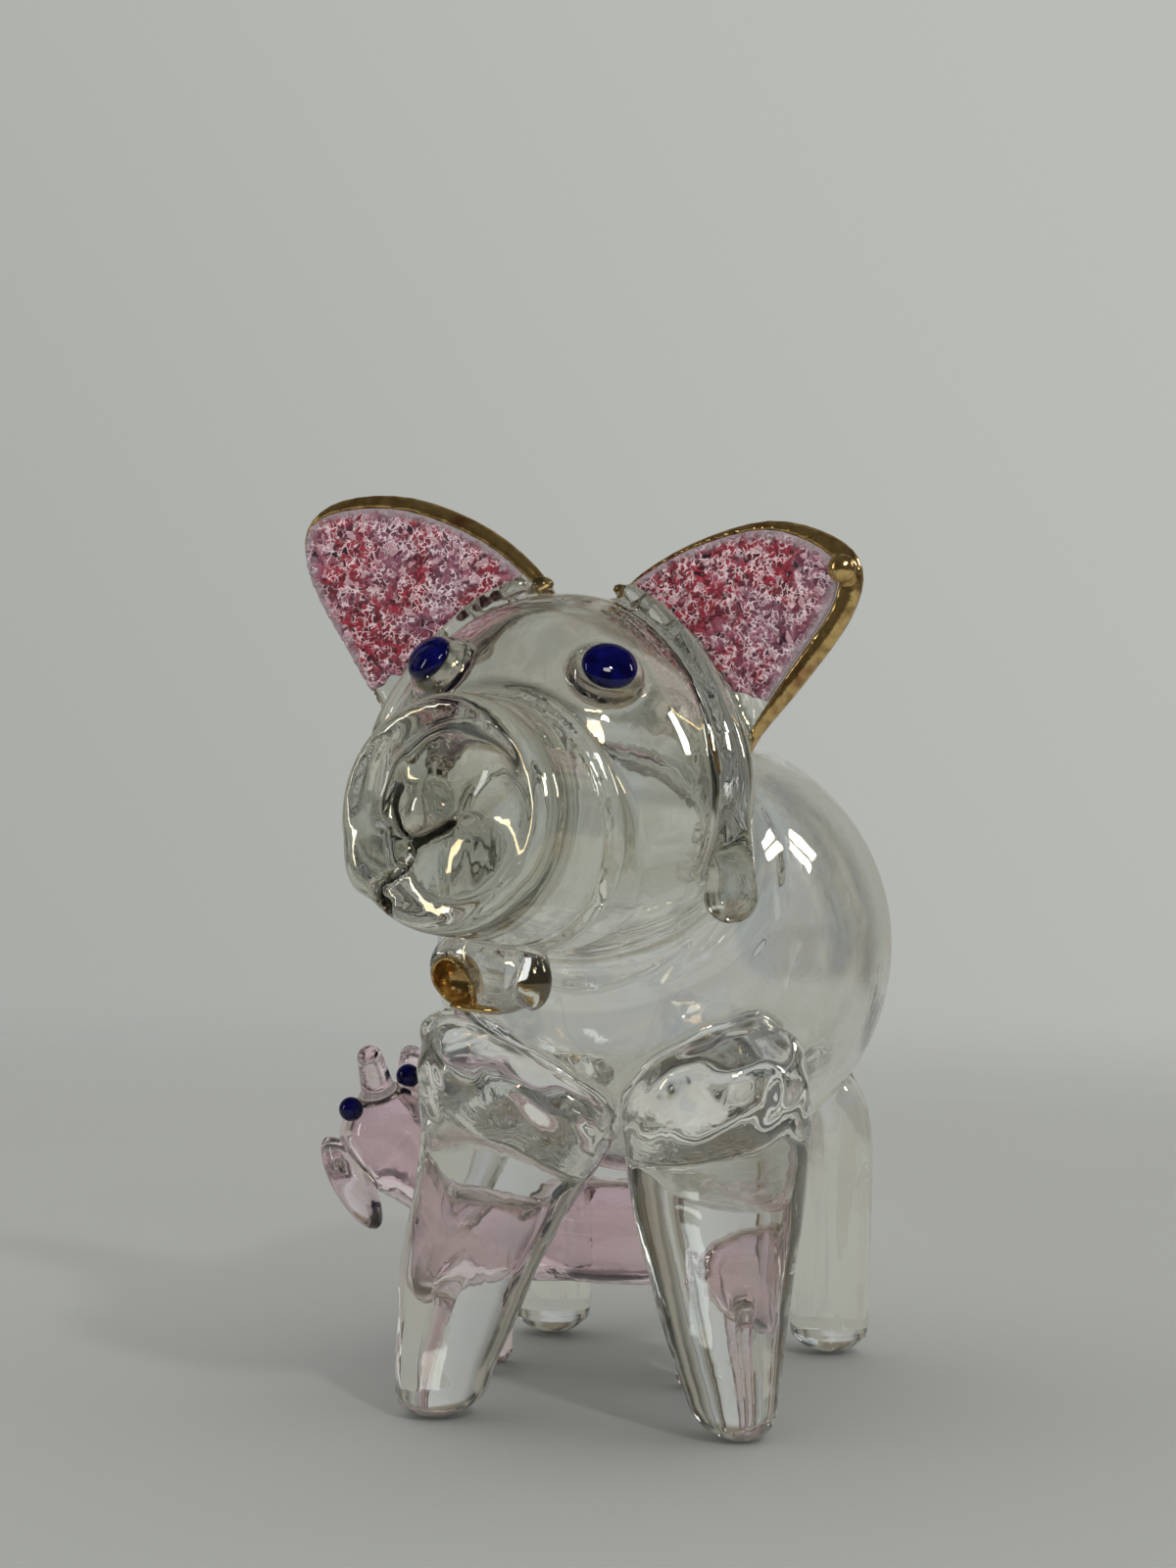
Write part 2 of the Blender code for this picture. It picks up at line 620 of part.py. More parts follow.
def piglet_parts(root, mats):
    piglet = frame("piglet_frame", PIGLET_PLACE, Euler((0.0, 0.0, PIGLET_TURN)), root)
    centre = Vector((0.0, 0.0, PIGLET_BELLY + PIGLET_HALF.z))
    body = piece("piglet_body", piglet_body_egg(PIGLET_HALF), mats["rose"], piglet, centre)
    body_seat = helper("piglet_body_seat", piglet_body_egg(grown(PIGLET_HALF, SEAM)), piglet, centre)
    hollow_half = grown(PIGLET_HALF, -PIGLET_WALL)
    hollow = helper("piglet_body_hollow", piglet_body_egg(hollow_half), piglet, centre)

    head = frame("piglet_head_frame", PIGLET_HEAD_PLACE, PIGLET_HEAD_POSE, piglet)
    skull = piece("piglet_head", piglet_head_egg(PIGLET_HEAD_HALF), mats["rose"], head)
    skull_seat = helper("piglet_head_seat", piglet_head_egg(grown(PIGLET_HEAD_HALF, SEAM)), head)
    skull_half = grown(PIGLET_HEAD_HALF, -PIGLET_WALL)
    skull_hollow = helper("piglet_head_hollow", piglet_head_egg(skull_half), head)

    neck_root = centre + Vector((0.0, -0.5 * PIGLET_HALF.y, 0.0))
    axis = PIGLET_HEAD_PLACE - neck_root
    lean = Vector((0.0, 0.0, 1.0)).rotation_difference(axis).to_euler()

    def neck_rod(name, radius, start):
        profile = ((start, radius), (axis.length + start, radius))
        return helper(name, rod(profile, PIGLET_AROUND), piglet, neck_root, lean)

    neck = neck_rod("piglet_neck_outside", PIGLET_NECK_RADIUS, 0.0)
    bore = neck_rod("piglet_neck_bore", PIGLET_NECK_RADIUS - PIGLET_WALL, PIGLET_WALL)
    throat = neck_rod("piglet_throat_bore", PIGLET_THROAT_RADIUS, PIGLET_WALL)
    neck_seat = neck_rod("piglet_neck_seat", PIGLET_NECK_RADIUS + SEAM, 0.0)
    combine(body, "UNION", neck)
    combine(body, "DIFFERENCE", hollow, bore, skull_seat)
    combine(skull, "DIFFERENCE", skull_hollow, throat)
    piglet_face(head, mats, skull_seat, neck_seat)
    piglet_limbs(piglet, mats, body_seat, neck_seat)


def piglet_face(head, mats, skull_seat, neck_seat):
    half = PIGLET_HEAD_HALF
    tip = PIGLET_SNOUT_LENGTH
    profile = (
        (-0.5 * tip, 0.0),
        (-0.5 * tip, 0.8 * PIGLET_SNOUT_RADIUS),
        (0.8 * tip, PIGLET_SNOUT_RADIUS),
        (tip, 0.8 * PIGLET_SNOUT_RADIUS),
        (tip, 0.0),
    )
    place = Vector((0.0, -0.8 * half.y, 0.0))
    forwards = (math.radians(90.0), 0.0, 0.0)
    snout_skin = rod(profile, PIGLET_LEG_SIDES)
    snout = piece("piglet_snout", snout_skin, mats["rose"], head, place, forwards)
    combine(snout, "DIFFERENCE", skull_seat)
    for side, word in ((1, "left"), (-1, "right")):
        spot = egg_point(grown(half, 0.3 * PIGLET_EYE_RADIUS), 2.0, PIGLET_EYE_BACK, PIGLET_EYE_AROUND)
        spot.x *= side
        ball = Vector((PIGLET_EYE_RADIUS,) * 3)
        eye = piece(f"piglet_eye_{word}", bead_egg(ball), mats["blue"], head, spot)
        combine(eye, "DIFFERENCE", skull_seat)
    ears = (
        ("left", PIGLET_LEFT_EAR_PLACE, PIGLET_LEFT_EAR_DROOP),
        ("right", PIGLET_RIGHT_EAR_PLACE, PIGLET_RIGHT_EAR_DROOP),
    )
    for word, place, droop in ears:
        ear_skin = piglet_head_egg(PIGLET_EAR_HALF)
        ear = piece(f"piglet_ear_{word}", ear_skin, mats["rose"], head, place, (droop, 0.0, 0.0))
        combine(ear, "DIFFERENCE", skull_seat, neck_seat)


def piglet_limbs(piglet, mats, body_seat, neck_seat):
    top = PIGLET_BELLY + PIGLET_HALF.z
    foot = ((0.0, PIGLET_FOOT_RADIUS), (PIGLET_LEG_RADIUS, PIGLET_LEG_RADIUS))
    profile = (*foot, (top, PIGLET_LEG_RADIUS))
    for along, end in ((PIGLET_LEGS_FRONT, "front"), (PIGLET_LEGS_REAR, "rear")):
        for side, word in ((1, "left"), (-1, "right")):
            place = (side * PIGLET_LEGS_APART / 2.0, along, 0.0)
            leg_rod = rod(profile, PIGLET_LEG_SIDES)
            leg = piece(f"piglet_{end}_leg_{word}", leg_rod, mats["rose"], piglet, place)
            combine(leg, "DIFFERENCE", body_seat, neck_seat)
    start = Vector((0.0, PIGLET_HALF.y - PIGLET_WALL, top))
    path = curl(2.0 * PIGLET_TAIL_RADIUS, 5.0 * PIGLET_TAIL_RADIUS, 1.0, start)
    tail_skin = trail(path, PIGLET_TAIL_RADIUS, 0.6 * PIGLET_TAIL_RADIUS, 6)
    tail = piece("piglet_tail", tail_skin, mats["rose"], piglet)
    combine(tail, "DIFFERENCE", body_seat)


def stand_at_origin(root):
    """Brings the middle of the whole figurine's box to the origin."""
    bpy.context.view_layer.update()
    graph = bpy.context.evaluated_depsgraph_get()
    corners = []
    for obj in bpy.context.view_layer.objects:
        if obj.type == "MESH" and not obj.hide_render:
            solid = obj.evaluated_get(graph)
            corners += [solid.matrix_world @ vertex.co for vertex in solid.data.vertices]
    for axis in (0, 1):
        ends = [corner[axis] for corner in corners]
        root.location[axis] = -(min(ends) + max(ends)) / 2.0


def main():
    clear_scene()
    mats = {
        "clear": glass("clear_glass", (0.93, 0.95, 0.94)),
        "rose": glass("rose_glass", (0.78, 0.55, 0.64)),
        "pink": opaque("pink_frit", (0.62, 0.12, 0.20), 0.35, 0.0),
        "gold": opaque("gold_lustre", (0.62, 0.36, 0.09), 0.18, 1.0),
        "blue": opaque("navy_glass", (0.01, 0.01, 0.10), 0.05, 0.0),
    }
    root = frame("pig_frame", (0.0, 0.0, 0.0))
    bubble, body_seat, body_tools, neck_seat, throat, body = body_parts(root, mats)
    head, head_half, head_seat = head_parts(root, mats, throat)
    combine(bubble, "UNION", body_tools[0])
    combine(bubble, "DIFFERENCE", *body_tools[1:], head_seat)
    snout_seat = snout_parts(head, mats, head_seat)
    mouth_parts(head, mats, head_seat, snout_seat)
    eye_parts(head, head_half, mats, head_seat)
    ear_parts(head, head_half, mats, head_seat, neck_seat)
    leg_parts(root, mats, body_seat)
    tail_part(body, mats, body_seat)
    piglet_parts(root, mats)
    stand_at_origin(root)


main()
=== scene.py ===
# Looks of a blown and lampworked glass pig with a pink glass piglet under her belly.
# Shapes are worked out in millimetres in the pig's own frame: her front feet stand on y = 0, her nose
# points towards -Y, her own left side is +X and the floor is z = 0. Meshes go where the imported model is.
import itertools
import math

import bpy
import numpy as np
from mathutils import Euler, Matrix, Vector


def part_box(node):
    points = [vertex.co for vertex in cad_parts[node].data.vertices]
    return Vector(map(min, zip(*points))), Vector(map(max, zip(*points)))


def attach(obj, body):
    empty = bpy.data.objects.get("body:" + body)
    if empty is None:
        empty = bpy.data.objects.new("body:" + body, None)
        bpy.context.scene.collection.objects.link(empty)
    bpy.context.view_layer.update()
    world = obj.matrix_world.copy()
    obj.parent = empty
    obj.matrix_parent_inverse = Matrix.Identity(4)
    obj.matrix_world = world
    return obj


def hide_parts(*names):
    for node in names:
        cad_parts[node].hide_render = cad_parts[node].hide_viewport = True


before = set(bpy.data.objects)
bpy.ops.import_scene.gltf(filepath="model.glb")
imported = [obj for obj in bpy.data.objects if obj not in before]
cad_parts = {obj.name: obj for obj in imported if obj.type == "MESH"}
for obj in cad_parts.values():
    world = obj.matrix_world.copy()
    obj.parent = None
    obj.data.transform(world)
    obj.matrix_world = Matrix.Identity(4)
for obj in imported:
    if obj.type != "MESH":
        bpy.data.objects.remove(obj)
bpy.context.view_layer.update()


def turned(x=0.0, y=0.0, z=0.0):
    """The matrix of turns given in degrees."""
    return np.array(Euler([math.radians(angle) for angle in (x, y, z)]).to_matrix())


def rgba(red, green, blue):
    return (red, green, blue, 1.0)


# Place of the pig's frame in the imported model, found from the body's box
BODY_SWAY = 0.8
BODY_END = 48.0
body_low, body_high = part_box("body_bubble")
HOME = np.array(
    [(body_low.x + body_high.x) / 2.0 - BODY_SWAY / 1000.0, body_high.y - BODY_END / 1000.0, 0.0]
)

# Fineness of the skins, and a distance that counts as far from any glass
PITCH, PIGLET_PITCH, RIM_PITCH, FRIT_PITCH, EYE_PITCH = (
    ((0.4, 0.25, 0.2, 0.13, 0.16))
)
FAR = 4.0

# Mother's body and neck
WALL = 1.0
BODY_RIPPLE = 0.05
HEAD_RIPPLE = 0.12
BODY_HALF = np.array([17.4, 26.2, 17.8])
BODY_CENTRE = np.array([BODY_SWAY, BODY_END - BODY_HALF[1], 34.7])
BODY_FULLNESS = 2.3
NECK_RADIUS = 11.0
NECK_WALL = 2.0
NECK_LINE = ((0.0, 8.5, 35.5), (0.0, -3.5, 45.5))
NECK_SOFT = 3.0
VENT_RADIUS = 0.8
VENT_REACH = 2.0

# Head
HEAD_HALF = np.array([13.3, 12.8, 12.7])
HEAD_FULLNESS = 2.2
HEAD_PEAR = 0.10
HEAD_CENTRE = (0.0, -10.0, 49.3)
HEAD_TURN = turned(y=3.0, z=-10.5)

# Snout drum, along +Z of its own frame
SNOUT_FOOT = (0.0, -8.5, -3.6)
SNOUT_TURN = turned(x=85.0, z=-10.0)
SNOUT_RADIUS = 8.2
SNOUT_ROOT_RADIUS = 8.6
SNOUT_LENGTH = 9.3
SNOUT_DEPTH = 6.0
SNOUT_EDGE = 1.7
SNOUT_STRETCH = 1.09
SNOUT_SWAY = 0.4
SNOUT_WALL = 1.2
SNOUT_FRONT = 3.8
SNOUT_HOLLOW_DEPTH = 7.0
SNOUT_HOLLOW_EDGE = 1.5
SNOUT_DISH_HALF = (7.6, 6.9, 1.0)

# The ridge round the drum's root, and the line of painted shade behind it
SNOUT_HOOP = 1.6
SNOUT_HOOP_TILT = 0.22
SNOUT_HOOP_RADIUS = 0.8
SEAM_REACH = 0.8
SEAM_BACK = 0.85
SEAM_OUT = 0.55

# Nostrils and lobes as places on the drum's front and half sizes, with a lean in degrees for nostrils
NOSTRILS = (
    ((2.3, 2.7), (3.6, 2.6, 1.6), 8.0),
    ((-5.4, 1.9), (1.9, 2.4, 1.3), -15.0),
)
SNOUT_LOBES = (
    ((-1.5, 0.1), (2.0, 1.7, 1.0)), ((3.0, -3.4), (4.4, 3.2, 1.2)), ((-5.6, -3.6), (1.9, 2.5, 1.0)),
)
SNOUT_LOBE_SINK = 1.1

# Pinched creases as places across and up the drum's front, with how deep they sink
SNOUT_CREASES = (
    ((-3.8, 1.2, 1.0), (-3.7, -0.4, 1.6), (-3.0, -1.7, 1.9), (-1.9, -2.3, 1.9),
     (-1.9, -3.4, 2.0), (-3.1, -4.7, 2.0), (-4.2, -5.5, 1.8), (-3.1, -6.8, 0.8)),
    ((-1.9, -2.3, 1.7), (-0.6, -1.8, 1.5), (1.2, -0.9, 1.0)),
)
CREASE_RADIUS = 0.48
CREASE_MOUTH = 0.7
# How far the painted shade reaches round each crease, and how soft its edge is
FOLD_REACH = 1.0
FOLD_SOFT = 0.45

# Mouth
LIP_HALF = np.array([4.4, 3.4, 3.2])
LIP_CENTRE = (-0.9, -8.4, -13.9)
MOUTH_RADIUS = 2.1
MOUTH_PLACE = np.array([-2.5, -10.4, -15.0])
MOUTH_OPENS = np.array([0.25, -0.75, 0.2])
GOLD_LINING = 0.3
GOLD_TONGUE = (-0.9, -10.4, -16.5)
GOLD_TONGUE_HALF = (1.9, 1.0, 0.32)
LIP_KNOB = (3.1, -9.7, -14.3)
LIP_KNOB_HALF = (1.3, 1.4, 2.0)

# Eyes, each as angles back from the nose and up from the side
EYE_LEFT = (46.5, 47.0)
EYE_RIGHT = (42.0, 48.0)
EYE_BEAD_HALF = (2.7, 2.4, 1.6)
EYE_DOT_HALF = (1.95, 1.75, 0.95)
EYE_DOT_LIFT = 1.15

# Ears, drawn in the plane across the head
EAR_OUTLINE_LEFT = (
    (2.6, 11.0), (3.4, 13.6), (8.0, 16.7), (13.9, 18.6), (18.9, 17.8), (21.3, 15.7),
    (20.7, 12.2), (17.4, 7.4), (14.4, 3.6), (12.8, 0.6), (10.6, 1.2), (6.0, 7.0),
)
EAR_OUTLINE_RIGHT = (
    (2.6, 11.0), (3.4, 13.6), (8.0, 16.9), (14.2, 18.8), (19.6, 18.3), (22.1, 16.0),
    (21.4, 12.2), (18.2, 7.4), (15.5, 3.6), (13.6, 0.6), (10.8, 1.2), (6.0, 7.0),
)
EAR_REACH = 22.0
EAR_THICKNESS = 1.3
EAR_BACK = 1.2
EAR_CUP = 1.8
RIM_WIDTH_LEFT = (0.3, 0.3, 0.4, 0.6, 1.1, 1.5, 1.4, 1.2, 0.6, 0.15, 0.1, 0.2)
RIM_WIDTH_RIGHT = (0.5, 0.8, 0.95, 0.95, 0.8, 0.35, 0.15, 0.1, 0.1, 0.1, 0.1, 0.3)
GOLD_BLOB = (20.3, -1.7, 15.6)
GOLD_BLOB_HALF = (1.0, 0.8, 1.0)
GOLD_FILM = 0.07
FRIT_THICKNESS = 0.22
FRIT_SINK = 0.15
FRIT_MARGIN = 0.05
FRIT_END_LEFT = ((11.9, 6.9), (15.5, 5.9))
FRIT_END_RIGHT = ((13.5, 6.4), (15.9, 4.4))
FRIT_RAGGED = 0.25
FRIT_OFF_HEAD = 1.04
GRAIN = 0.42
GRAIN_RISE = 0.22

# Lumpy welds along the ears' roots: from and to which angle, how many lumps and how uneven they are
WELD_RADIUS = 0.8
WELD_FROM = 14.0
WELD_TO = 76.0
WELD_LUMPS = 17
WELD_LIFT = 0.9
WELD_LEAST = 0.75
WELD_SWELL = 0.35
WELD_FLATNESS = 0.7
WELD_SWAY = 0.4

# Trail down the left cheek: place and radius
CHEEK_TRAIL = np.array([
    (4.4, -0.9, 13.0, 0.6), (7.4, -1.1, 11.2, 0.7), (10.2, -1.3, 8.2, 0.9), (11.9, -1.6, 4.9, 1.4),
    (13.1, -1.8, 1.6, 1.7), (13.6, -1.9, -1.6, 1.4), (13.9, -1.9, -4.6, 1.5), (14.1, -1.9, -7.6, 1.9),
])

# Legs: height, centre from the middle line, half width, centre along the body, half depth
FOOT_APART = 23.2
LEFT_SHANK = (
    (0.0, 0.3, 1.4, 0.0, 1.6), (0.5, 0.2, 2.1, 0.0, 2.2), (1.8, -0.1, 3.1, 0.0, 3.1),
    (4.5, -0.5, 3.8, 0.0, 3.7), (8.0, -1.0, 4.6, 0.0, 4.3), (12.0, -1.4, 5.4, 0.0, 4.9),
    (17.0, -1.8, 6.4, 0.0, 5.5), (22.0, -1.9, 6.9, -0.4, 6.2), (25.3, -1.7, 6.8, -1.2, 6.2),
    (28.1, -0.7, 5.5, -2.0, 5.5), (30.0, 0.6, 3.4, -1.0, 4.0), (31.5, 1.2, 0.0, 0.0, 0.0),
)
RIGHT_SHANK = (
    (0.0, 0.0, 2.1, 0.0, 2.0), (0.5, 0.0, 2.8, 0.0, 2.7), (1.8, -0.4, 3.4, 0.0, 3.3),
    (4.5, -0.8, 3.9, 0.0, 3.8), (8.0, -1.6, 4.6, 0.0, 4.4), (12.0, -2.5, 5.3, 0.0, 5.0),
    (17.0, -4.3, 6.2, 0.0, 5.6), (22.0, -6.1, 7.4, -0.4, 6.2), (25.0, -5.6, 6.9, -1.2, 6.2),
    (27.6, -3.6, 4.6, -1.8, 5.5), (29.8, -1.2, 2.4, -0.8, 3.8), (31.2, -0.2, 0.0, 0.0, 0.0),
)
REAR_APART = 24.2
REAR_BACK = 37.0
REAR_SHANK = (
    (0.0, 0.0, 0.8, 0.0, 0.8), (0.4, 0.0, 1.9, 0.0, 1.9), (1.2, 0.0, 2.8, 0.0, 2.8),
    (2.6, 0.0, 3.3, 0.0, 3.3), (11.0, 0.0, 3.3, 0.0, 3.3), (19.0, -0.2, 3.4, -0.4, 3.6),
    (23.5, -1.6, 3.3, -1.0, 3.8), (26.8, -3.6, 2.3, -1.6, 2.8), (28.5, -4.6, 0.0, -1.8, 0.0),
)
SOLE_ROUNDNESS = 4.0
LEG_LUMPS = 0.22
LUMPS_FROM = 21.0
LUMPS_FADE = 4.0

# Drops inside the body above the front legs: places and half sizes
LEG_DROPS = (
    ((-8.9, -1.2, 27.6), (1.5, 1.0, 1.1)), ((-6.9, -1.6, 28.8), (1.0, 0.8, 1.2)),
    ((-7.6, 0.4, 26.0), (1.2, 1.0, 0.7)), ((9.6, -1.4, 28.6), (1.7, 1.0, 1.3)),
    ((12.4, -0.2, 28.2), (1.1, 0.9, 1.4)), ((10.8, 0.8, 26.3), (1.3, 1.0, 0.8)),
    ((7.9, -1.4, 27.4), (0.9, 0.8, 0.9)),
)

# Tail
TAIL_RADIUS = 1.0
TAIL_TIP_RADIUS = 0.6
TAIL_CURL_RADIUS = 2.2
TAIL_TURNS = 1.25
TAIL_LENGTH = 5.8
TAIL_HEIGHT = 5.5

# Piglet, in its own frame with its nose towards -Y
PIGLET_PLACE = (-3.4, 20.0, 0.0)
PIGLET_TURN = turned(z=-90.0)
PIGLET_HALF = np.array([4.3, 11.5, 4.3])
PIGLET_FULLNESS = 2.2
PIGLET_CENTRE = np.array([0.0, 0.0, 11.8])
PIGLET_WALL = 0.7
PIGLET_NECK_RADIUS = 4.3
PIGLET_NECK_WALL = 1.4
PIGLET_HEAD_HALF = np.array([4.2, 4.5, 4.2])
PIGLET_HEAD_PLACE = (0.2, -18.1, 18.4)
PIGLET_HEAD_TURN = turned(-113.0, 23.0, -44.0)
PIGLET_SNOUT_LINE = ((0.2, -3.4, -1.0), (0.9, -8.3, -0.5))
PIGLET_SNOUT_RADII = (1.5, 1.05)
PIGLET_EYE_RADIUS = 1.0
PIGLET_EYE_LIFT = 0.8
PIGLET_EYE_LEFT = (40.0, -15.0)
PIGLET_EYE_RIGHT = (32.0, -16.0)
PIGLET_EARS = (
    ((5.0, 1.5, 0.9), (1.45, 4.3, 2.1), 50.0),
    ((-4.5, -1.6, -1.3), (1.8, 4.1, 2.1), 37.0),
)
PIGLET_LEG_RADIUS = 1.2
PIGLET_LEGS_APART = 5.0
PIGLET_LEGS_ALONG = (-9.5, 7.8)
PIGLET_TAIL_RADIUS = 0.5
PIGLET_TAIL_CURL_RADIUS = 1.0
PIGLET_TAIL_LENGTH = 2.5

# Colours of the glass and gold
GLASS_IOR = 1.5
FILM_IOR = 1.8
FILM_THICKNESS = (72.0, 135.0)
CLEAR_TINTS = (rgba(0.98, 0.985, 0.97), rgba(0.95, 0.955, 0.93))
# Painted dark reflection on the head, lighter towards the top: it stands in for the dark room the head
# mirrors
HEAD_DARK_REFLECTION_TINTS = (rgba(0.79, 0.79, 0.72), rgba(0.91, 0.90, 0.84))
# Painted near-black shade in the snout's folds and behind the drum's root ridge
FOLD_PAINTED_SHADE = rgba(0.004, 0.004, 0.003)
ROSE_TINTS = (rgba(0.96, 0.85, 0.90), rgba(0.94, 0.80, 0.87))
CRIMSONS = (rgba(0.075, 0.004, 0.012), rgba(0.46, 0.028, 0.058))
MAUVES = (rgba(0.13, 0.026, 0.055), rgba(0.40, 0.15, 0.22))
PALE_GRAIN = rgba(0.62, 0.36, 0.40)
DARK_GRAIN = rgba(0.03, 0.004, 0.02)
PALE_SEAMS = (rgba(0.97, 0.68, 0.72), rgba(0.93, 0.76, 0.80))
FRIT_BY_GOLD = rgba(0.42, 0.33, 0.36)
GOLDS = (rgba(0.74, 0.51, 0.19), rgba(0.34, 0.19, 0.055))
THIN_GOLD = rgba(0.30, 0.075, 0.03)
NAVIES = (rgba(0.002, 0.002, 0.03), rgba(0.004, 0.004, 0.08))

# Where the painted dark reflection on the head sets in, in metres: upwards, forwards, and where it clears
# to the top
HEAD_SHADE_UP = (0.036, 0.044)
HEAD_SHADE_FORWARD = np.array([0.006, -0.002])
HEAD_SHADE_CLEARS = (0.043, 0.056)

# Camera at the photograph's viewing angle, in the pig's frame
CAMERA_YAW = 14.0
CAMERA_PITCH = 1.1
CAMERA_ROLL = 1.5
CAMERA_DISTANCE = 250.0
CAMERA_SIDE = -0.9
CAMERA_HEIGHT = 53.0
PHOTO_FOCAL_PX = 3422.0
PHOTO_HEIGHT_PX = 1600.0
SENSOR = 36.0
RIGHT, AHEAD, UP = turned(z=CAMERA_YAW).T

# Floor, in metres: rings, sides, and from where to where it fades into the backdrop
FLOOR_MIDDLE = 0.0005
FLOOR_STEP = 0.02
FLOOR_RINGS = 30
FLOOR_SIDES = 64
FLOOR_FADE = (0.16, 0.40)
FLOOR_TONES = (rgba(0.43, 0.44, 0.42), rgba(0.46, 0.47, 0.45))

# What rays through glass see of the floor: it glows for them, with painted dark and light patches where
# they look down on it
FLOOR_IN_GLASS = rgba(0.40, 0.40, 0.35)
PAINTED_FLOOR_LIGHT_SHADE = (rgba(0.030, 0.029, 0.026), rgba(0.62, 0.62, 0.57))
FLOOR_SHOWN = 0.85

# Light on everything dull, the backdrop that the camera sees, and the room that glass and gold show
PLAIN_LIGHT = rgba(0.78, 0.78, 0.77)
BACKDROP = (rgba(0.395, 0.405, 0.385), rgba(0.490, 0.500, 0.475))
ABOVE_BACKDROP = rgba(0.21, 0.18, 0.125)
BESIDE_BACKDROP = rgba(0.34, 0.34, 0.30)
ROOM = (rgba(0.008, 0.007, 0.005), rgba(0.30, 0.285, 0.235))
ROOM_BEHIND_CAMERA = rgba(0.016, 0.015, 0.013)

# Windows in that room: degrees to the right of straight ahead and up, half sizes, brightness
WINDOWS = (
    ((168.0, 29.0), (7.0, 5.5), 14.0),
    ((93.0, 26.0), (3.0, 9.0), 12.0),
    ((50.0, 26.0), (2.4, 4.5), 12.0),
    ((56.5, 26.0), (2.4, 4.5), 12.0),
    ((-102.0, 14.0), (2.5, 14.0), 7.0),
)
WINDOW_EDGE = 0.7
WINDOWS_THROUGH_GLASS = 0.15

# Lamp, in metres and watts
LAMP_PLACE = Vector((0.45, -0.6, 0.6))
LAMP_AIM = Vector((0.0, 0.0, 0.035))
LAMP_SIZE = 0.06
LAMP_POWER = 1.4

# How many times light may pass or bounce in the thick glass
GLASS_BOUNCES = 96


# Shapes. Each is a distance function with the low and high corner of its box.


def placed(shape, place, turn):
    """The shape turned and moved out of its own frame."""
    distance, low, high = shape

    def moved(x, y, z):
        dx, dy, dz = x - place[0], y - place[1], z - place[2]
        return distance(*(turn[0, i] * dx + turn[1, i] * dy + turn[2, i] * dz for i in range(3)))

    corners = np.array(list(itertools.product(*zip(low, high)))) @ turn.T + place
    return moved, corners.min(axis=0), corners.max(axis=0)


def in_head(shape):
    return placed(shape, HEAD_CENTRE, HEAD_TURN)


def in_snout(shape):
    return in_head(placed(shape, SNOUT_FOOT, SNOUT_TURN))


def in_piglet(shape):
    return placed(shape, PIGLET_PLACE, PIGLET_TURN)


def in_piglet_head(shape):
    return in_piglet(placed(shape, PIGLET_HEAD_PLACE, PIGLET_HEAD_TURN))


def moved_by(shape, place):
    return placed(shape, np.asarray(place, dtype=float), np.eye(3))


def drop(half, place):
    return moved_by(egg(half), place)


def body_egg(grow=0.0):
    return moved_by(egg(BODY_HALF + grow, BODY_FULLNESS), BODY_CENTRE)


def head_egg(grow=0.0):
    return in_head(egg(HEAD_HALF + grow, HEAD_FULLNESS, HEAD_PEAR))


def rippled(shape, height, length):
    """The shape with a gently uneven surface."""
    distance, low, high = shape

    def uneven(x, y, z):
        waves = np.sin(x / length + 1.3 * np.sin(z / length)) * np.sin(y / length + 0.7) + np.sin(
            1.7 * z / length + 0.9 * x / length
        ) * np.sin(1.3 * y / length)
        return distance(x, y, z) + height * waves

    return uneven, low - height, high + height


def egg(half, fullness=2.0, pear=0.0):
    """An egg along Y, wider below if it is pear-shaped."""
    half = np.asarray(half, dtype=float)
    n = fullness

    def distance(x, y, z):
        u, w = x / half[0], z / half[2]
        if pear:
            for _ in range(2):
                u = x / half[0] / (1.0 - pear * w / (np.hypot(u, w) + 1e-6))
        girth = np.hypot(u, w) + 1e-6
        v = np.abs(y) / half[1]
        size = np.maximum((girth**n + v**n) ** (1.0 / n), 1e-3)
        across = np.hypot(u / half[0], w / half[2]) / girth
        slope = np.hypot(v ** (n - 1.0) / half[1], girth ** (n - 1.0) * across) * size ** (1.0 - n)
        return (size - 1.0) / np.maximum(slope, 1e-3)

    return distance, -half, half


def thread(points, radii):
    """A round thread of glass through points, with a radius at each."""
    points = np.asarray(points, dtype=float)
    radii = np.broadcast_to(radii, len(points))

    def distance(x, y, z):
        nearest = None
        for a, b, start, end in zip(points, points[1:], radii, radii[1:]):
            ax, ay, az = b - a
            px, py, pz = x - a[0], y - a[1], z - a[2]
            share = np.clip((px * ax + py * ay + pz * az) / (ax * ax + ay * ay + az * az), 0.0, 1.0)
            away = np.sqrt((px - share * ax) ** 2 + (py - share * ay) ** 2 + (pz - share * az) ** 2)
            away -= start + (end - start) * share
            nearest = away if nearest is None else np.minimum(nearest, away)
        return nearest

    reach = radii.max()
    return distance, points.min(axis=0) - reach, points.max(axis=0) + reach


def drum(start_radius, end_radius, start, end, edge):
    """A round drum along Z with rounded edges."""
    middle, half = (start + end) / 2.0, (end - start) / 2.0

    def distance(x, y, z):
        radius = start_radius + (end_radius - start_radius) * np.clip(z / end, 0.0, 1.0)
        out = np.hypot(x, y) - radius + edge
        up = np.abs(z - middle) - half + edge
        beyond = np.hypot(np.maximum(out, 0.0), np.maximum(up, 0.0))
        return beyond + np.minimum(np.maximum(out, up), 0.0) - edge

    wide = max(start_radius, end_radius)
    return distance, np.array([-wide, -wide, start]), np.array([wide, wide, end])


# How much each of four neighbours counts on a smooth line, for each power of the way along
SPLINE = 0.5 * np.array([(0, 2, 0, 0), (-1, 0, 1, 0), (2, -5, 4, -1), (-1, 3, -3, 1)])


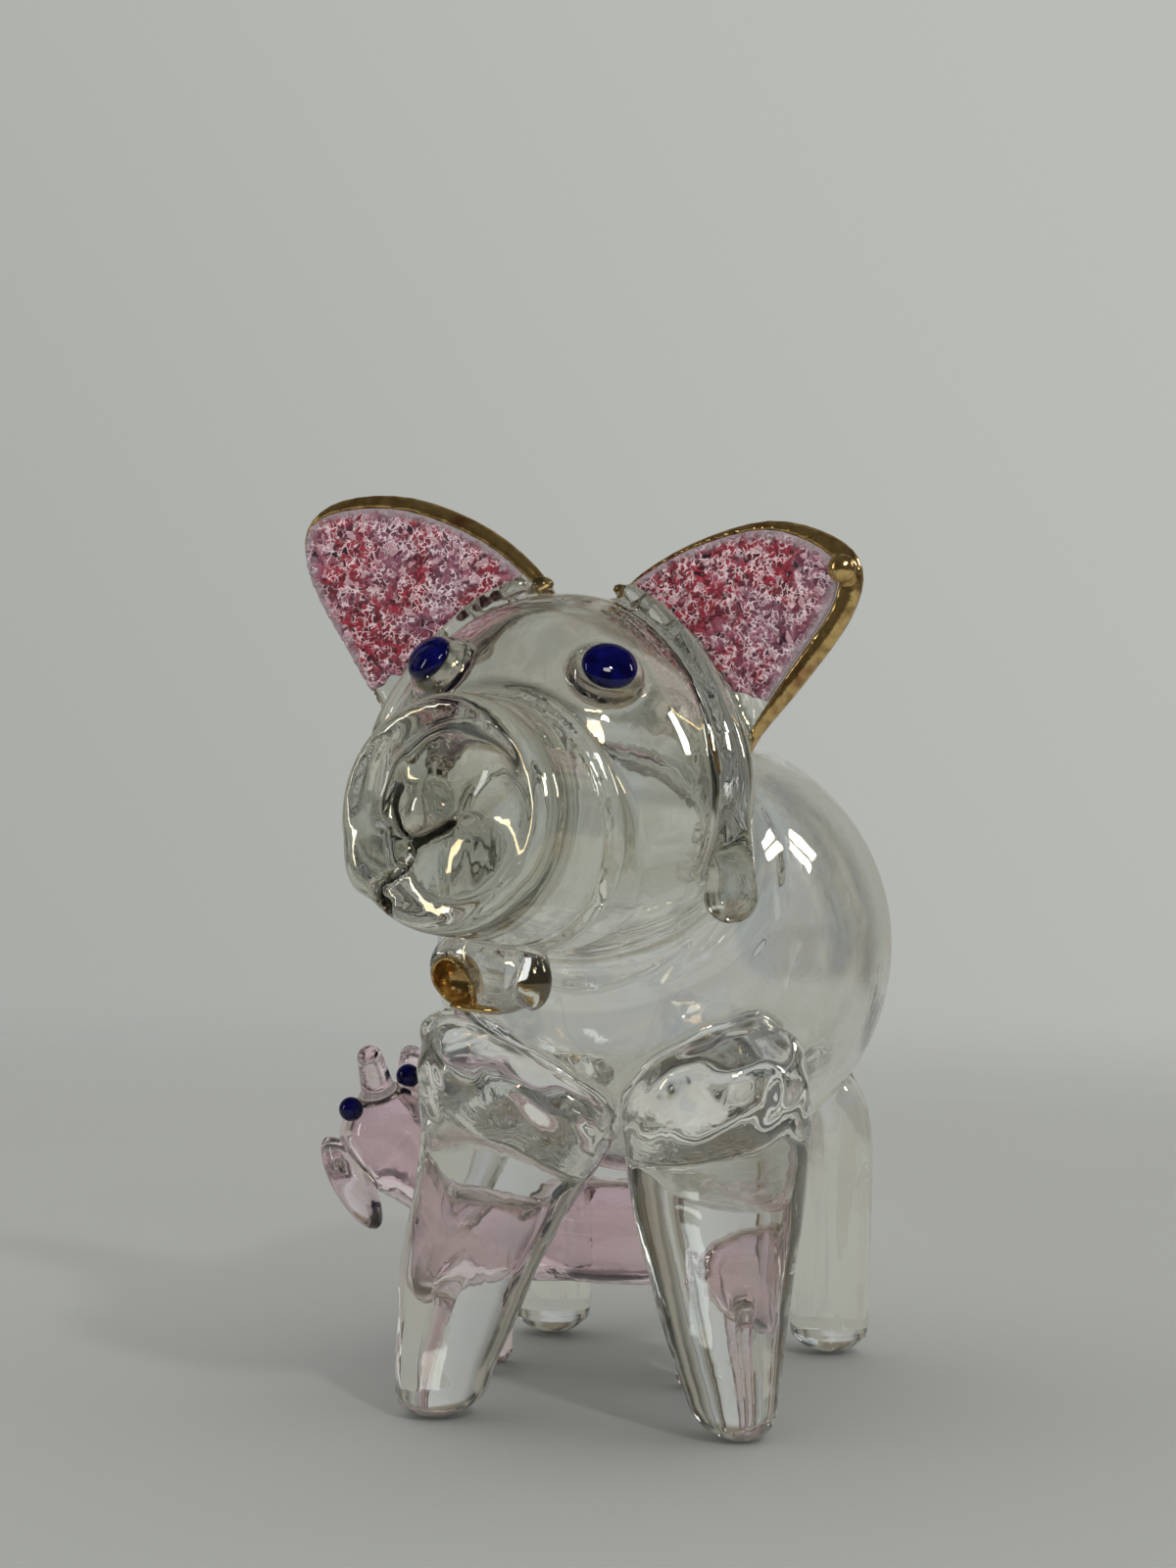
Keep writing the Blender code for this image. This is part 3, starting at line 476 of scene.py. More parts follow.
def flowing(points, steps, closed=False):
    """A smooth line through points, with so many steps between each two."""
    points = np.asarray(points, dtype=float)
    count = len(points)
    powers = (np.arange(steps) / steps)[:, None] ** np.arange(4)
    line = []
    for i in range(count if closed else count - 1):
        places = np.arange(i - 1, i + 3)
        places = places % count if closed else np.clip(places, 0, count - 1)
        line.extend(powers @ SPLINE @ points[places])
    if not closed:
        line.append(points[-1])
    return np.array(line)


def leg(shank, side, apart, back):
    """A leg lofted through level oval rings."""
    line = flowing(shank, 12)
    height = line[:, 0]
    centre_x = side * (apart / 2.0 + line[:, 1])
    half_x = np.maximum(line[:, 2], 0.02)
    centre_y = back + line[:, 3]
    half_y = np.maximum(line[:, 4], 0.02)
    steep = np.clip(np.gradient(half_x, height), -4.0, 4.0)
    top = height[-1]

    def distance(x, y, z):
        level = np.clip(z, 0.0, top)
        sizes = (half_x, half_y, centre_x, centre_y, steep)
        hx, hy, cx, cy, slope = (np.interp(level, height, size) for size in sizes)
        out = (np.hypot((x - cx) / hx, (y - cy) / hy) - 1.0) * np.minimum(hx, hy)
        out = out / np.sqrt(1.0 + slope**2)
        over = np.maximum(z - top, 0.0)
        out = np.where(over > 0.0, np.hypot(np.maximum(out, 0.0), over), out)
        sole = z - ((x - centre_x[0]) ** 2 + (y - centre_y[0]) ** 2) / (2.0 * SOLE_ROUNDNESS)
        lumps = np.sin(1.1 * x + side) * np.sin(1.2 * y + 0.8) * np.sin(1.0 * z)
        out = out + LEG_LUMPS * lumps * np.clip((z - LUMPS_FROM) / LUMPS_FADE, 0.0, 1.0)
        return -fillet(-out, sole, soft=0.4)

    low = np.array([(centre_x - half_x).min(), (centre_y - half_y).min(), 0.0])
    high = np.array([(centre_x + half_x).max(), (centre_y + half_y).max(), top])
    return distance, low, high


def outline_distance(outline, x, z, inset=None):
    """How far a point lies outside a closed outline in its plane, or outside one drawn further in."""
    nearest = np.full(np.broadcast(x, z).shape, 1e9)
    inside = np.zeros(nearest.shape, dtype=bool)
    by = np.zeros_like(nearest)
    widths = np.zeros(len(outline)) if inset is None else inset
    for a, b, start, end in zip(outline, np.roll(outline, -1, axis=0), widths, np.roll(widths, -1)):
        ex, ez = b - a
        px, pz = x - a[0], z - a[1]
        share = np.clip((px * ex + pz * ez) / (ex * ex + ez * ez), 0.0, 1.0)
        away = (px - share * ex) ** 2 + (pz - share * ez) ** 2
        by = np.where(away < nearest, start + (end - start) * share, by)
        nearest = np.minimum(nearest, away)
        inside ^= ((a[1] > z) != (b[1] > z)) & (px < ex * pz / (ez if ez else 1e-9))
    return np.where(inside, -1.0, 1.0) * np.sqrt(nearest) + by


def tabled(function, low, high, step=0.1):
    """A slow function of two lengths, worked out once on a grid and then read off between its points."""
    across = np.arange(low[0], high[0] + step, step)
    up = np.arange(low[1], high[1] + step, step)
    table = function(across[:, None], up[None, :])

    def read(x, z):
        u = np.clip((x - low[0]) / step, 0.0, len(across) - 1.001)
        w = np.clip((z - low[1]) / step, 0.0, len(up) - 1.001)
        i, j = u.astype(int), w.astype(int)
        u, w = u - i, w - j
        near = table[i, j] * (1.0 - u) + table[i + 1, j] * u
        far = table[i, j + 1] * (1.0 - u) + table[i + 1, j + 1] * u
        return near * (1.0 - w) + far * w

    return read


def ear_outline(side):
    return flowing(EAR_OUTLINE_LEFT if side > 0.0 else EAR_OUTLINE_RIGHT, 4, closed=True)


def ear_plane(side, inset=None):
    """How far a point of the ear's plane lies outside its outline, or outside one drawn further in."""
    outline = ear_outline(side)
    low, high = outline.min(axis=0) - 2.5, outline.max(axis=0) + 2.5
    return tabled(lambda x, z: outline_distance(outline, x, z, inset), low, high)


def ear_depth(x):
    """How far back the middle of an ear lies: it cups forward towards its tip."""
    return EAR_BACK - EAR_CUP * (x / EAR_REACH) ** 2


def ear_leaf(side):
    """A cupped plate with rounded edges."""
    edge = EAR_THICKNESS / 2.0 - 0.05
    plane = ear_plane(side)

    def distance(x, y, z):
        out = plane(x * side, z) + edge
        over = np.abs(y - ear_depth(x * side)) - EAR_THICKNESS / 2.0 + edge
        beyond = np.hypot(np.maximum(out, 0.0), np.maximum(over, 0.0))
        return beyond + np.minimum(np.maximum(out, over), 0.0) - edge

    outline = ear_outline(side)
    narrow, wide = outline.min(axis=0), outline.max(axis=0)
    ends = sorted((side * narrow[0], side * wide[0]))
    deep = EAR_CUP + EAR_THICKNESS
    return distance, np.array([ends[0], -deep, narrow[1]]), np.array([ends[1], deep, wide[1]])


def fillet(one, other, soft):
    """The nearer of two distances, with a fillet where they meet."""
    blend = np.maximum(soft - np.abs(one - other), 0.0) / soft
    return np.minimum(one, other) - 0.25 * soft * blend * blend


class Gather:
    """A mass of hot glass: shapes are melted on or pressed in, then a skin is drawn over it."""

    def __init__(self):
        self.steps = []

    def melt_on(self, shape, soft=0.6, sign=1.0):
        distance, low, high = shape
        margin = soft + 1.0
        self.steps.append((distance, low - margin, high + margin, soft, sign))

    def press_in(self, shape, soft=0.6):
        self.melt_on(shape, soft, -1.0)

    def distance(self, points):
        x, y, z = points.T
        field = np.full(len(points), FAR)
        for distance, low, high, soft, sign in self.steps:
            near = np.nonzero(np.all((points > low) & (points < high), axis=1))[0]
            if len(near):
                away = distance(x[near], y[near], z[near])
                field[near] = sign * fillet(sign * field[near], away, soft)
        return field

    def on_grid(self, axes):
        field = np.full([len(axis) for axis in axes], FAR)
        for distance, low, high, soft, sign in self.steps:
            cut = tuple(
                slice(np.searchsorted(axis, start), np.searchsorted(axis, end))
                for axis, start, end in zip(axes, low, high)
            )
            near = [axis[part] for axis, part in zip(axes, cut)]
            if all(map(len, near)):
                away = distance(*np.ix_(*near))
                field[cut] = sign * fillet(sign * field[cut], away, soft)
        return field

    def slope(self, points, step=0.03):
        columns = []
        for axis in np.eye(3) * step:
            columns.append((self.distance(points + axis) - self.distance(points - axis)) / (2.0 * step))
        return np.stack(columns, axis=1)

    def skin(self, pitch):
        """Points and quads over the surface."""
        grown = [step for step in self.steps if step[4] > 0.0]
        low = np.min([step[1] for step in grown], axis=0)
        high = np.max([step[2] for step in grown], axis=0)
        axes = [np.arange(start, end + pitch, pitch) for start, end in zip(low, high)]
        points, quads = draw_skin(self.on_grid(axes), low, pitch)
        for _ in range(3):
            points = relaxed(points, quads)
            away = self.distance(points)
            slope = self.slope(points)
            steep = np.maximum((slope**2).sum(axis=1), 0.2)
            move = np.clip(away / steep, -pitch, pitch)
            points = points - slope * move[:, None]
        return points, quads


CORNERS = list(itertools.product((0, 1), repeat=3))


def draw_skin(field, low, pitch):
    """Quads through the cells where the field changes sign."""
    inside = field < 0.0
    shape = np.array(field.shape) - 1
    count = np.zeros(shape, dtype=np.uint8)
    for i, j, k in CORNERS:
        count += inside[i:i + shape[0], j:j + shape[1], k:k + shape[2]]
    cells = np.argwhere((count > 0) & (count < 8))
    number = np.full(shape, -1, dtype=np.int64)
    number[tuple(cells.T)] = np.arange(len(cells))

    total = np.zeros((len(cells), 3))
    hits = np.zeros(len(cells))
    for a, b in itertools.combinations(CORNERS, 2):
        a, b = np.array(a), np.array(b)
        if np.abs(b - a).sum() != 1:
            continue
        first, second = field[tuple((cells + a).T)], field[tuple((cells + b).T)]
        crossed = (first < 0.0) != (second < 0.0)
        share = np.where(crossed, first / np.where(crossed, first - second, 1.0), 0.0)
        total += np.where(crossed[:, None], a + (b - a) * share[:, None], 0.0)
        hits += crossed
    points = low + (cells + total / hits[:, None]) * pitch

    quads = []
    for axis in range(3):
        one, two = (i for i in range(3) if i != axis)
        start = np.take(inside, range(shape[axis]), axis)
        end = np.take(inside, range(1, shape[axis] + 1), axis)
        at = np.argwhere(start != end)
        at = at[(at[:, one] > 0) & (at[:, two] > 0) & (at[:, one] < shape[one]) & (at[:, two] < shape[two])]
        corners = []
        for first, second in ((-1, -1), (0, -1), (0, 0), (-1, 0)):
            cell = at.copy()
            cell[:, one] += first
            cell[:, two] += second
            corners.append(number[tuple(cell.T)])
        quad = np.stack(corners, axis=1)
        outwards = start[tuple(at.T)] == (axis != 1)
        quads.append(np.where(outwards[:, None], quad, quad[:, ::-1]))
    return points, np.concatenate(quads)


def relaxed(points, quads):
    """Each point drawn halfway to the middle of its neighbours."""
    total = np.zeros_like(points)
    count = np.zeros(len(points))
    for shift in (1, 3):
        ends = np.roll(quads, shift, axis=1).ravel()
        starts = quads.ravel()
        count += np.bincount(starts, minlength=len(points))
        for axis in range(3):
            total[:, axis] += np.bincount(starts, weights=points[ends, axis], minlength=len(points))
    return 0.5 * points + 0.5 * total / np.maximum(count, 1.0)[:, None]


def add_object(name, data):
    obj = bpy.data.objects.new(name, data)
    bpy.context.collection.objects.link(obj)
    return obj


def make_mesh(name, points, faces, material, body, inner_material=None, is_inner=None):
    """A smooth-shaded mesh from points in the pig's frame, riding on a body."""
    mesh = bpy.data.meshes.new(name)
    mesh.from_pydata((np.asarray(points) / 1000.0 + HOME).tolist(), [], np.asarray(faces).tolist())
    mesh.shade_smooth()
    mesh.materials.append(material)
    if inner_material is not None:
        mesh.materials.append(inner_material)
        inner = is_inner(points[faces].mean(axis=1))
        mesh.polygons.foreach_set("material_index", inner.astype(np.int32))
    obj = add_object(name, mesh)
    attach(obj, body)
    return obj


def mark_points(obj, name, measure):
    """Keeps a measure of each point on the mesh, for its material."""
    points = np.empty(len(obj.data.vertices) * 3)
    obj.data.vertices.foreach_get("co", points)
    values = measure((points.reshape(-1, 3) - HOME) * 1000.0)
    obj.data.attributes.new(name, "FLOAT", "POINT").data.foreach_set("value", values)


def egg_spot(half, fullness, angles, pear, side):
    """A point on an egg, by degrees back from its front pole and round from its side."""
    back, around = (math.radians(angle) for angle in angles)
    girth = (1.0 - abs(math.cos(back)) ** fullness) ** (1.0 / fullness)
    across = half[0] * girth * math.cos(around) * (1.0 - pear * math.sin(around))
    return np.array([side * across, -half[1] * math.cos(back), half[2] * girth * math.sin(around)])


def aimed(direction):
    """The turn that takes +Z to a direction."""
    return np.array(Vector(direction).to_track_quat("Z", "Y").to_matrix())


def curl(start, radius, length, turns, count):
    """A line that runs along +Y from its start and winds into a curl."""
    line = []
    for t in np.linspace(0.0, 1.0, count):
        angle = math.tau * turns * t
        size = radius * min(1.0, 3.0 * t)
        line.append(start + (size * math.sin(angle), length * t, size * (1.0 - math.cos(angle))))
    return np.array(line)


# Mother


def inside_bubbles(points):
    """Which points lie on the inner walls of the blown hollows."""
    x, y, z = points.T
    bubbles = (
        body_egg(),
        head_egg(),
        thread(NECK_LINE, NECK_RADIUS),
        in_snout(snout_drum(-0.4 * SNOUT_WALL)),
    )
    return np.min([distance(x, y, z) for distance, _, _ in bubbles], axis=0) < -0.6 * WALL


def mother_glass():
    glass = Gather()
    glass.melt_on(body_egg())
    glass.melt_on(thread(NECK_LINE, NECK_RADIUS), soft=NECK_SOFT)
    glass.melt_on(head_egg(), soft=NECK_SOFT)
    add_snout(glass)
    add_face(glass)
    add_ears(glass)
    for side, shank in ((1.0, LEFT_SHANK), (-1.0, RIGHT_SHANK)):
        glass.melt_on(leg(shank, side, FOOT_APART, 0.0), soft=0.9)
        glass.melt_on(leg(REAR_SHANK, side, REAR_APART, REAR_BACK), soft=0.9)
    tail_root = BODY_CENTRE + (0.0, BODY_HALF[1] - 2.0 * WALL, TAIL_HEIGHT)
    tail = curl(tail_root, TAIL_CURL_RADIUS, TAIL_LENGTH, TAIL_TURNS, 33)
    glass.melt_on(thread(tail, np.linspace(TAIL_RADIUS, TAIL_TIP_RADIUS, len(tail))))

    glass.press_in(rippled(body_egg(-WALL), BODY_RIPPLE, 5.0), soft=0.5)
    for place, half in LEG_DROPS:
        glass.melt_on(drop(half, place), soft=0.4)
    glass.press_in(rippled(head_egg(-WALL), HEAD_RIPPLE, 2.6), soft=0.5)
    glass.press_in(in_snout(snout_hollow()), soft=0.5)
    glass.press_in(thread(NECK_LINE, NECK_RADIUS - NECK_WALL), soft=0.5)
    rump = BODY_CENTRE + (0.0, BODY_HALF[1], 0.0)
    vent = rump + np.outer((-VENT_REACH, VENT_REACH), (0.0, 1.0, 0.0))
    glass.press_in(thread(vent, VENT_RADIUS), soft=0.3)
    return glass


def add_snout(glass):
    """A hollow drum with a thick front that was poked and pinched while it was soft."""
    glass.melt_on(in_snout(snout_drum()), soft=0.25)
    glass.melt_on(in_snout(thread(snout_hoop(), SNOUT_HOOP_RADIUS)), soft=0.1)
    front = SNOUT_LENGTH
    glass.press_in(in_snout(drop(SNOUT_DISH_HALF, (SNOUT_SWAY, 0.0, front))), soft=0.9)
    for spot, half, lean in NOSTRILS:
        glass.press_in(in_snout(placed(egg(half), (*spot, front), turned(z=lean))), soft=0.9)
    for spot, half in SNOUT_LOBES:
        glass.melt_on(in_snout(drop(half, (*spot, front - SNOUT_LOBE_SINK))), soft=0.7)
    for crease in SNOUT_CREASES:
        mouth = thread(crease_line(crease, 0.5), CREASE_MOUTH * CREASE_RADIUS)
        glass.press_in(in_snout(mouth), soft=0.2)
        glass.press_in(in_snout(thread(crease_line(crease), CREASE_RADIUS)), soft=0.2)


def crease_line(crease, share=1.0):
    """The line of a crease, at a share of its depth."""
    return flowing([(across, up, SNOUT_LENGTH - share * sink) for across, up, sink in crease], 4)


def snout_fold_shade(points):
    """How far each point lies in a fold of the snout or behind its root ridge, from nought to one: where
    painted shade goes.
    """
    fold_shade = np.zeros(len(points))
    lines = [(crease_line(crease), FOLD_REACH, FOLD_SOFT) for crease in SNOUT_CREASES]
    lines.append((snout_hoop(SEAM_BACK, SEAM_OUT), SEAM_REACH, SEAM_REACH))
    for line, reach, soft in lines:
        away = in_snout(thread(line, reach))[0](*points.T)
        fold_shade = np.maximum(fold_shade, np.clip(-away / soft, 0.0, 1.0))
    return fold_shade


def snout_hoop(back=0.0, out=0.0):
    """A line round the root of the drum, so far back and out from the ridge there."""
    turns = np.linspace(0.0, math.tau, 49)
    across = SNOUT_SWAY + (SNOUT_ROOT_RADIUS + out) * SNOUT_STRETCH * np.cos(turns)
    up = (SNOUT_ROOT_RADIUS + out) * np.sin(turns)
    return np.stack([across, up, SNOUT_HOOP + SNOUT_HOOP_TILT * up - back], axis=1)


def snout_drum(grow=0.0):
    distance, low, high = drum(
        SNOUT_ROOT_RADIUS + grow, SNOUT_RADIUS + grow, -SNOUT_DEPTH, SNOUT_LENGTH + grow, SNOUT_EDGE
    )

    def widened(x, y, z):
        return distance((x - SNOUT_SWAY) / SNOUT_STRETCH, y, z)

    return widened, low * (SNOUT_STRETCH, 1.0, 1.0), high * (SNOUT_STRETCH, 1.0, 1.0) + SNOUT_SWAY


def snout_hollow():
    radii = (SNOUT_ROOT_RADIUS - SNOUT_WALL, SNOUT_RADIUS - SNOUT_WALL)
    return drum(*radii, -SNOUT_HOLLOW_DEPTH, SNOUT_LENGTH - SNOUT_FRONT, SNOUT_HOLLOW_EDGE)


def add_face(glass):
    glass.melt_on(in_head(drop(LIP_HALF, LIP_CENTRE)), soft=0.4)
    glass.press_in(in_head(drop((MOUTH_RADIUS,) * 3, MOUTH_PLACE)), soft=0.4)
    glass.melt_on(in_head(drop(LIP_KNOB_HALF, LIP_KNOB)), soft=0.3)
    for side in (1.0, -1.0):
        spot = eye_spot(side)
        glass.melt_on(in_head(placed(egg(EYE_BEAD_HALF), spot, aimed(spot))), soft=0.4)


def add_ears(glass):
    """Ears with a lumpy weld along their roots and a trail that runs down each cheek to a drop."""
    for side in (1.0, -1.0):
        glass.melt_on(in_head(ear_leaf(side)), soft=0.8)
        trail = flowing(CHEEK_TRAIL * (side, 1.0, 1.0, 1.0), 4)
        glass.melt_on(in_head(thread(trail[:, :3], trail[:, 3])), soft=0.7)
        for i, around in enumerate(np.linspace(WELD_FROM, WELD_TO, WELD_LUMPS)):
            size = WELD_RADIUS * (WELD_LEAST + WELD_SWELL * math.sin(2.3 * i + side) ** 2)
            point = egg_spot(HEAD_HALF + WELD_LIFT, HEAD_FULLNESS, (90.0, around), HEAD_PEAR, side)
            point[1] = ear_depth(point[0] * side) - EAR_THICKNESS / 2.0 - WELD_SWAY * math.sin(1.7 * i)
            lump = drop((size, size, WELD_FLATNESS * size), point)
            glass.melt_on(in_head(lump), soft=0.15)


def inside_rim(side):
    """How far a point of the ear's plane lies outside the line where the gold ends."""
    widths = RIM_WIDTH_LEFT if side > 0.0 else RIM_WIDTH_RIGHT
    return ear_plane(side, flowing(np.array(widths)[:, None], 4, closed=True)[:, 0])


def ear_gold(side):
    """Gold fired round the free edge of an ear, over both faces."""
    within = inside_rim(side)
    over, low, high = ear_leaf(side)

    def distance(x, y, z):
        return np.maximum(over(x, y, z) - GOLD_FILM, -within(x * side, z))

    gold = Gather()
    gold.melt_on(in_head((distance, low - GOLD_FILM, high + GOLD_FILM)), soft=0.05)
    if side > 0.0:
        gold.melt_on(in_head(drop(GOLD_BLOB_HALF, GOLD_BLOB)), soft=0.5)
    gold.press_in(head_egg(), soft=0.1)
    return gold


GRAIN_SHIFTS = np.random.default_rng(11).uniform(-0.38, 0.38, (64, 64, 2))
GRAIN_HEIGHTS = np.random.default_rng(12).uniform(0.3, 1.0, (64, 64))


def grain_height(x, z):
    """How high crushed grains stand over the ear, from nought in their seams to one."""
    u, w = x / GRAIN, z / GRAIN
    nearest = np.full(np.broadcast(u, w).shape, 9.0)
    tall = np.zeros_like(nearest)
    for i, j in itertools.product((-1, 0, 1), repeat=2):
        column, row = np.floor(u) + i, np.floor(w) + j
        at = (column.astype(int) % 64, row.astype(int) % 64)
        shift = GRAIN_SHIFTS[at]
        away = np.hypot(u - column - 0.5 - shift[..., 0], w - row - 0.5 - shift[..., 1])
        tall = np.where(away < nearest, GRAIN_HEIGHTS[at], tall)
        nearest = np.minimum(away, nearest)
    return tall * np.sqrt(np.clip(1.0 - nearest**2, 0.0, 1.0))


def frit_end(side, x, z):
    """How far a point lies past the ragged line where the crushed glass stops above the root."""
    (x1, z1), (x2, z2) = FRIT_END_LEFT if side > 0.0 else FRIT_END_RIGHT
    along = np.array([x2 - x1, z2 - z1]) / math.hypot(x2 - x1, z2 - z1)
    ragged = FRIT_RAGGED * np.sin(3.1 * x) * np.sin(2.3 * z + 1.0)
    return along[1] * (x - x1) - along[0] * (z - z1) + ragged


def ear_frit(side):
    """A layer of crushed glass on the inside of an ear, from the gold to the root."""
    within = inside_rim(side)
    height = tabled(grain_height, (0.0, -2.0), (24.0, 21.0), 0.06)

    def distance(x, y, z):
        lies = np.maximum(within(x * side, z) + FRIT_MARGIN, frit_end(side, x * side, z))
        middle = ear_depth(x * side) - EAR_THICKNESS / 2.0
        front = middle - FRIT_THICKNESS - GRAIN_RISE * height(x * side, z)
        thick = np.maximum(front - y, y - middle - FRIT_SINK)
        return np.maximum(0.7 * thick, lies)

    _, low, high = ear_leaf(side)
    frit = Gather()
    frit.melt_on(in_head((distance, low - 1.0, high + 1.0)), soft=0.05)
    frit.press_in(head_egg(FRIT_OFF_HEAD), soft=0.1)
    return frit


def from_gold(side):
    """How far each point of the crushed glass lies from the gold round its ear."""
    within = inside_rim(side)

    def distance(points):
        in_ear = (points - HEAD_CENTRE) @ HEAD_TURN
        return -within(in_ear[:, 0] * side, in_ear[:, 2])

    return distance


def eye_spot(side):
    """Where an eye sits on the head. Each is a little off the other's mirror place."""
    return egg_spot(HEAD_HALF, HEAD_FULLNESS, EYE_LEFT if side > 0.0 else EYE_RIGHT, HEAD_PEAR, side)


def eye_dot(side):
    """A navy drop on the front of an eye's bead."""
    spot = eye_spot(side)
    lifted = spot * (1.0 + EYE_DOT_LIFT / np.linalg.norm(spot))
    dot = Gather()
    dot.melt_on(in_head(placed(egg(EYE_DOT_HALF), lifted, aimed(spot))))
    return dot


def mouth_gold():
    """Gold that lines the mouth and runs out on its lower lip."""
    cup, low, high = drop((MOUTH_RADIUS + 0.05,) * 3, MOUTH_PLACE)
    lip = drop(LIP_HALF + 0.1, LIP_CENTRE)[0]
    gold = Gather()
    gold.melt_on(in_head((lambda x, y, z: np.maximum(cup(x, y, z), lip(x, y, z)), low, high)), soft=0.1)
    hollow = drop((MOUTH_RADIUS - GOLD_LINING,) * 3, MOUTH_PLACE + MOUTH_OPENS * GOLD_LINING)
    gold.press_in(in_head(hollow), soft=0.2)
    gold.melt_on(in_head(drop(GOLD_TONGUE_HALF, GOLD_TONGUE)), soft=0.2)
    gold.press_in(in_snout(snout_drum(0.2)), soft=0.1)
    return gold


# Piglet


def piglet_eye(side):
    angles = PIGLET_EYE_LEFT if side > 0.0 else PIGLET_EYE_RIGHT
    spot = egg_spot(PIGLET_HEAD_HALF + PIGLET_EYE_LIFT, 2.0, angles, 0.0, side)
    eye = Gather()
    eye.melt_on(in_piglet_head(drop((PIGLET_EYE_RADIUS,) * 3, spot)))
    return eye


def piglet_glass():
    glass = Gather()
    neck = (PIGLET_CENTRE - (0.0, 0.5 * PIGLET_HALF[1], 0.0), PIGLET_HEAD_PLACE)
    glass.melt_on(in_piglet(moved_by(egg(PIGLET_HALF, PIGLET_FULLNESS), PIGLET_CENTRE)))
    glass.melt_on(in_piglet(thread(neck, PIGLET_NECK_RADIUS)), soft=1.2)
    glass.melt_on(in_piglet_head(egg(PIGLET_HEAD_HALF)), soft=0.8)
    glass.melt_on(in_piglet_head(thread(PIGLET_SNOUT_LINE, PIGLET_SNOUT_RADII)), soft=0.8)
    for place, half, droop in PIGLET_EARS:
        glass.melt_on(in_piglet_head(placed(egg(half), place, turned(x=droop))), soft=0.5)
    for along, side in itertools.product(PIGLET_LEGS_ALONG, (1.0, -1.0)):
        foot = np.array([side * PIGLET_LEGS_APART / 2.0, along, PIGLET_LEG_RADIUS])
        hip = foot + (0.0, 0.0, PIGLET_CENTRE[2] - PIGLET_LEG_RADIUS)
        glass.melt_on(in_piglet(thread([foot, hip], PIGLET_LEG_RADIUS)), soft=0.8)
    tail_root = PIGLET_CENTRE + (0.0, PIGLET_HALF[1] - PIGLET_WALL, 0.0)
    tail = curl(tail_root, PIGLET_TAIL_CURL_RADIUS, PIGLET_TAIL_LENGTH, 1.0, 17)
    glass.melt_on(in_piglet(thread(tail, PIGLET_TAIL_RADIUS)), soft=0.3)

    hollow = moved_by(egg(PIGLET_HALF - PIGLET_WALL, PIGLET_FULLNESS), PIGLET_CENTRE)
    glass.press_in(in_piglet(hollow), soft=0.3)
    glass.press_in(in_piglet(thread(neck, PIGLET_NECK_RADIUS - PIGLET_NECK_WALL)), soft=0.3)
    glass.press_in(in_piglet_head(egg(PIGLET_HEAD_HALF - PIGLET_WALL)), soft=0.3)
    return glass


# Materials


class Nodes:
    """Short ways to add and join shader nodes."""

    def __init__(self, tree):
        self.tree = tree

    def add(self, kind, inputs=(), **settings):
        node = self.tree.nodes.new("ShaderNode" + kind)
        for name, value in settings.items():
            setattr(node, name, value)
        self.fill(node, dict(inputs))
        return node

    def fill(self, node, inputs):
        """Sets a node's sockets to plain values, or joins them to sockets of other nodes."""
        for name, value in inputs.items():
            if isinstance(value, bpy.types.NodeSocket):
                self.tree.links.new(value, node.inputs[name])
            else:
                node.inputs[name].default_value = value

    def math(self, operation, *values):
        return self.add("Math", enumerate(values), operation=operation).outputs[0]

    def ramp(self, value, low, high, start=0.0, end=1.0):
        """A smooth step from one value to another."""
        inputs = {"Value": value, "From Min": low, "From Max": high, "To Min": start, "To Max": end}
        return self.add("MapRange", inputs, interpolation_type="SMOOTHSTEP").outputs["Result"]

    def mix(self, factor, one, other):
        """One colour faded into another. A mix node's sockets 6 and 7 are its colours."""
        return self.add("Mix", {0: factor, 6: one, 7: other}, data_type="RGBA").outputs[2]

    def noise(self, coords, size_mm, detail=2.0, **inputs):
        """Noise whose lumps have a size in millimetres."""
        values = {"Vector": coords, "Scale": 1000.0 / size_mm, "Detail": detail}
        return self.add("TexNoise", {**values, **inputs}).outputs["Fac"]

    def cells(self, coords, size_mm, feature="F1"):
        values = {"Vector": coords, "Scale": 1000.0 / size_mm}
        return self.add("TexVoronoi", values, feature=feature)

    def bump(self, height, distance_mm):
        return self.add("Bump", {"Height": height, "Distance": distance_mm / 1000.0}).outputs["Normal"]


def new_material(name):
    material = bpy.data.materials.new(name)
    material.use_nodes = True
    shader = material.node_tree.nodes["Principled BSDF"]
    nodes = Nodes(material.node_tree)
    coords = nodes.add("TexCoord").outputs["Object"]
    return material, nodes, shader, coords


def new_glass(name):
    """A material of clear polished glass, without its tint and waves."""
    material, nodes, shader, coords = new_material(name)
    nodes.fill(shader, {"Roughness": 0.0, "Transmission Weight": 1.0, "IOR": GLASS_IOR})
    return material, nodes, shader, coords


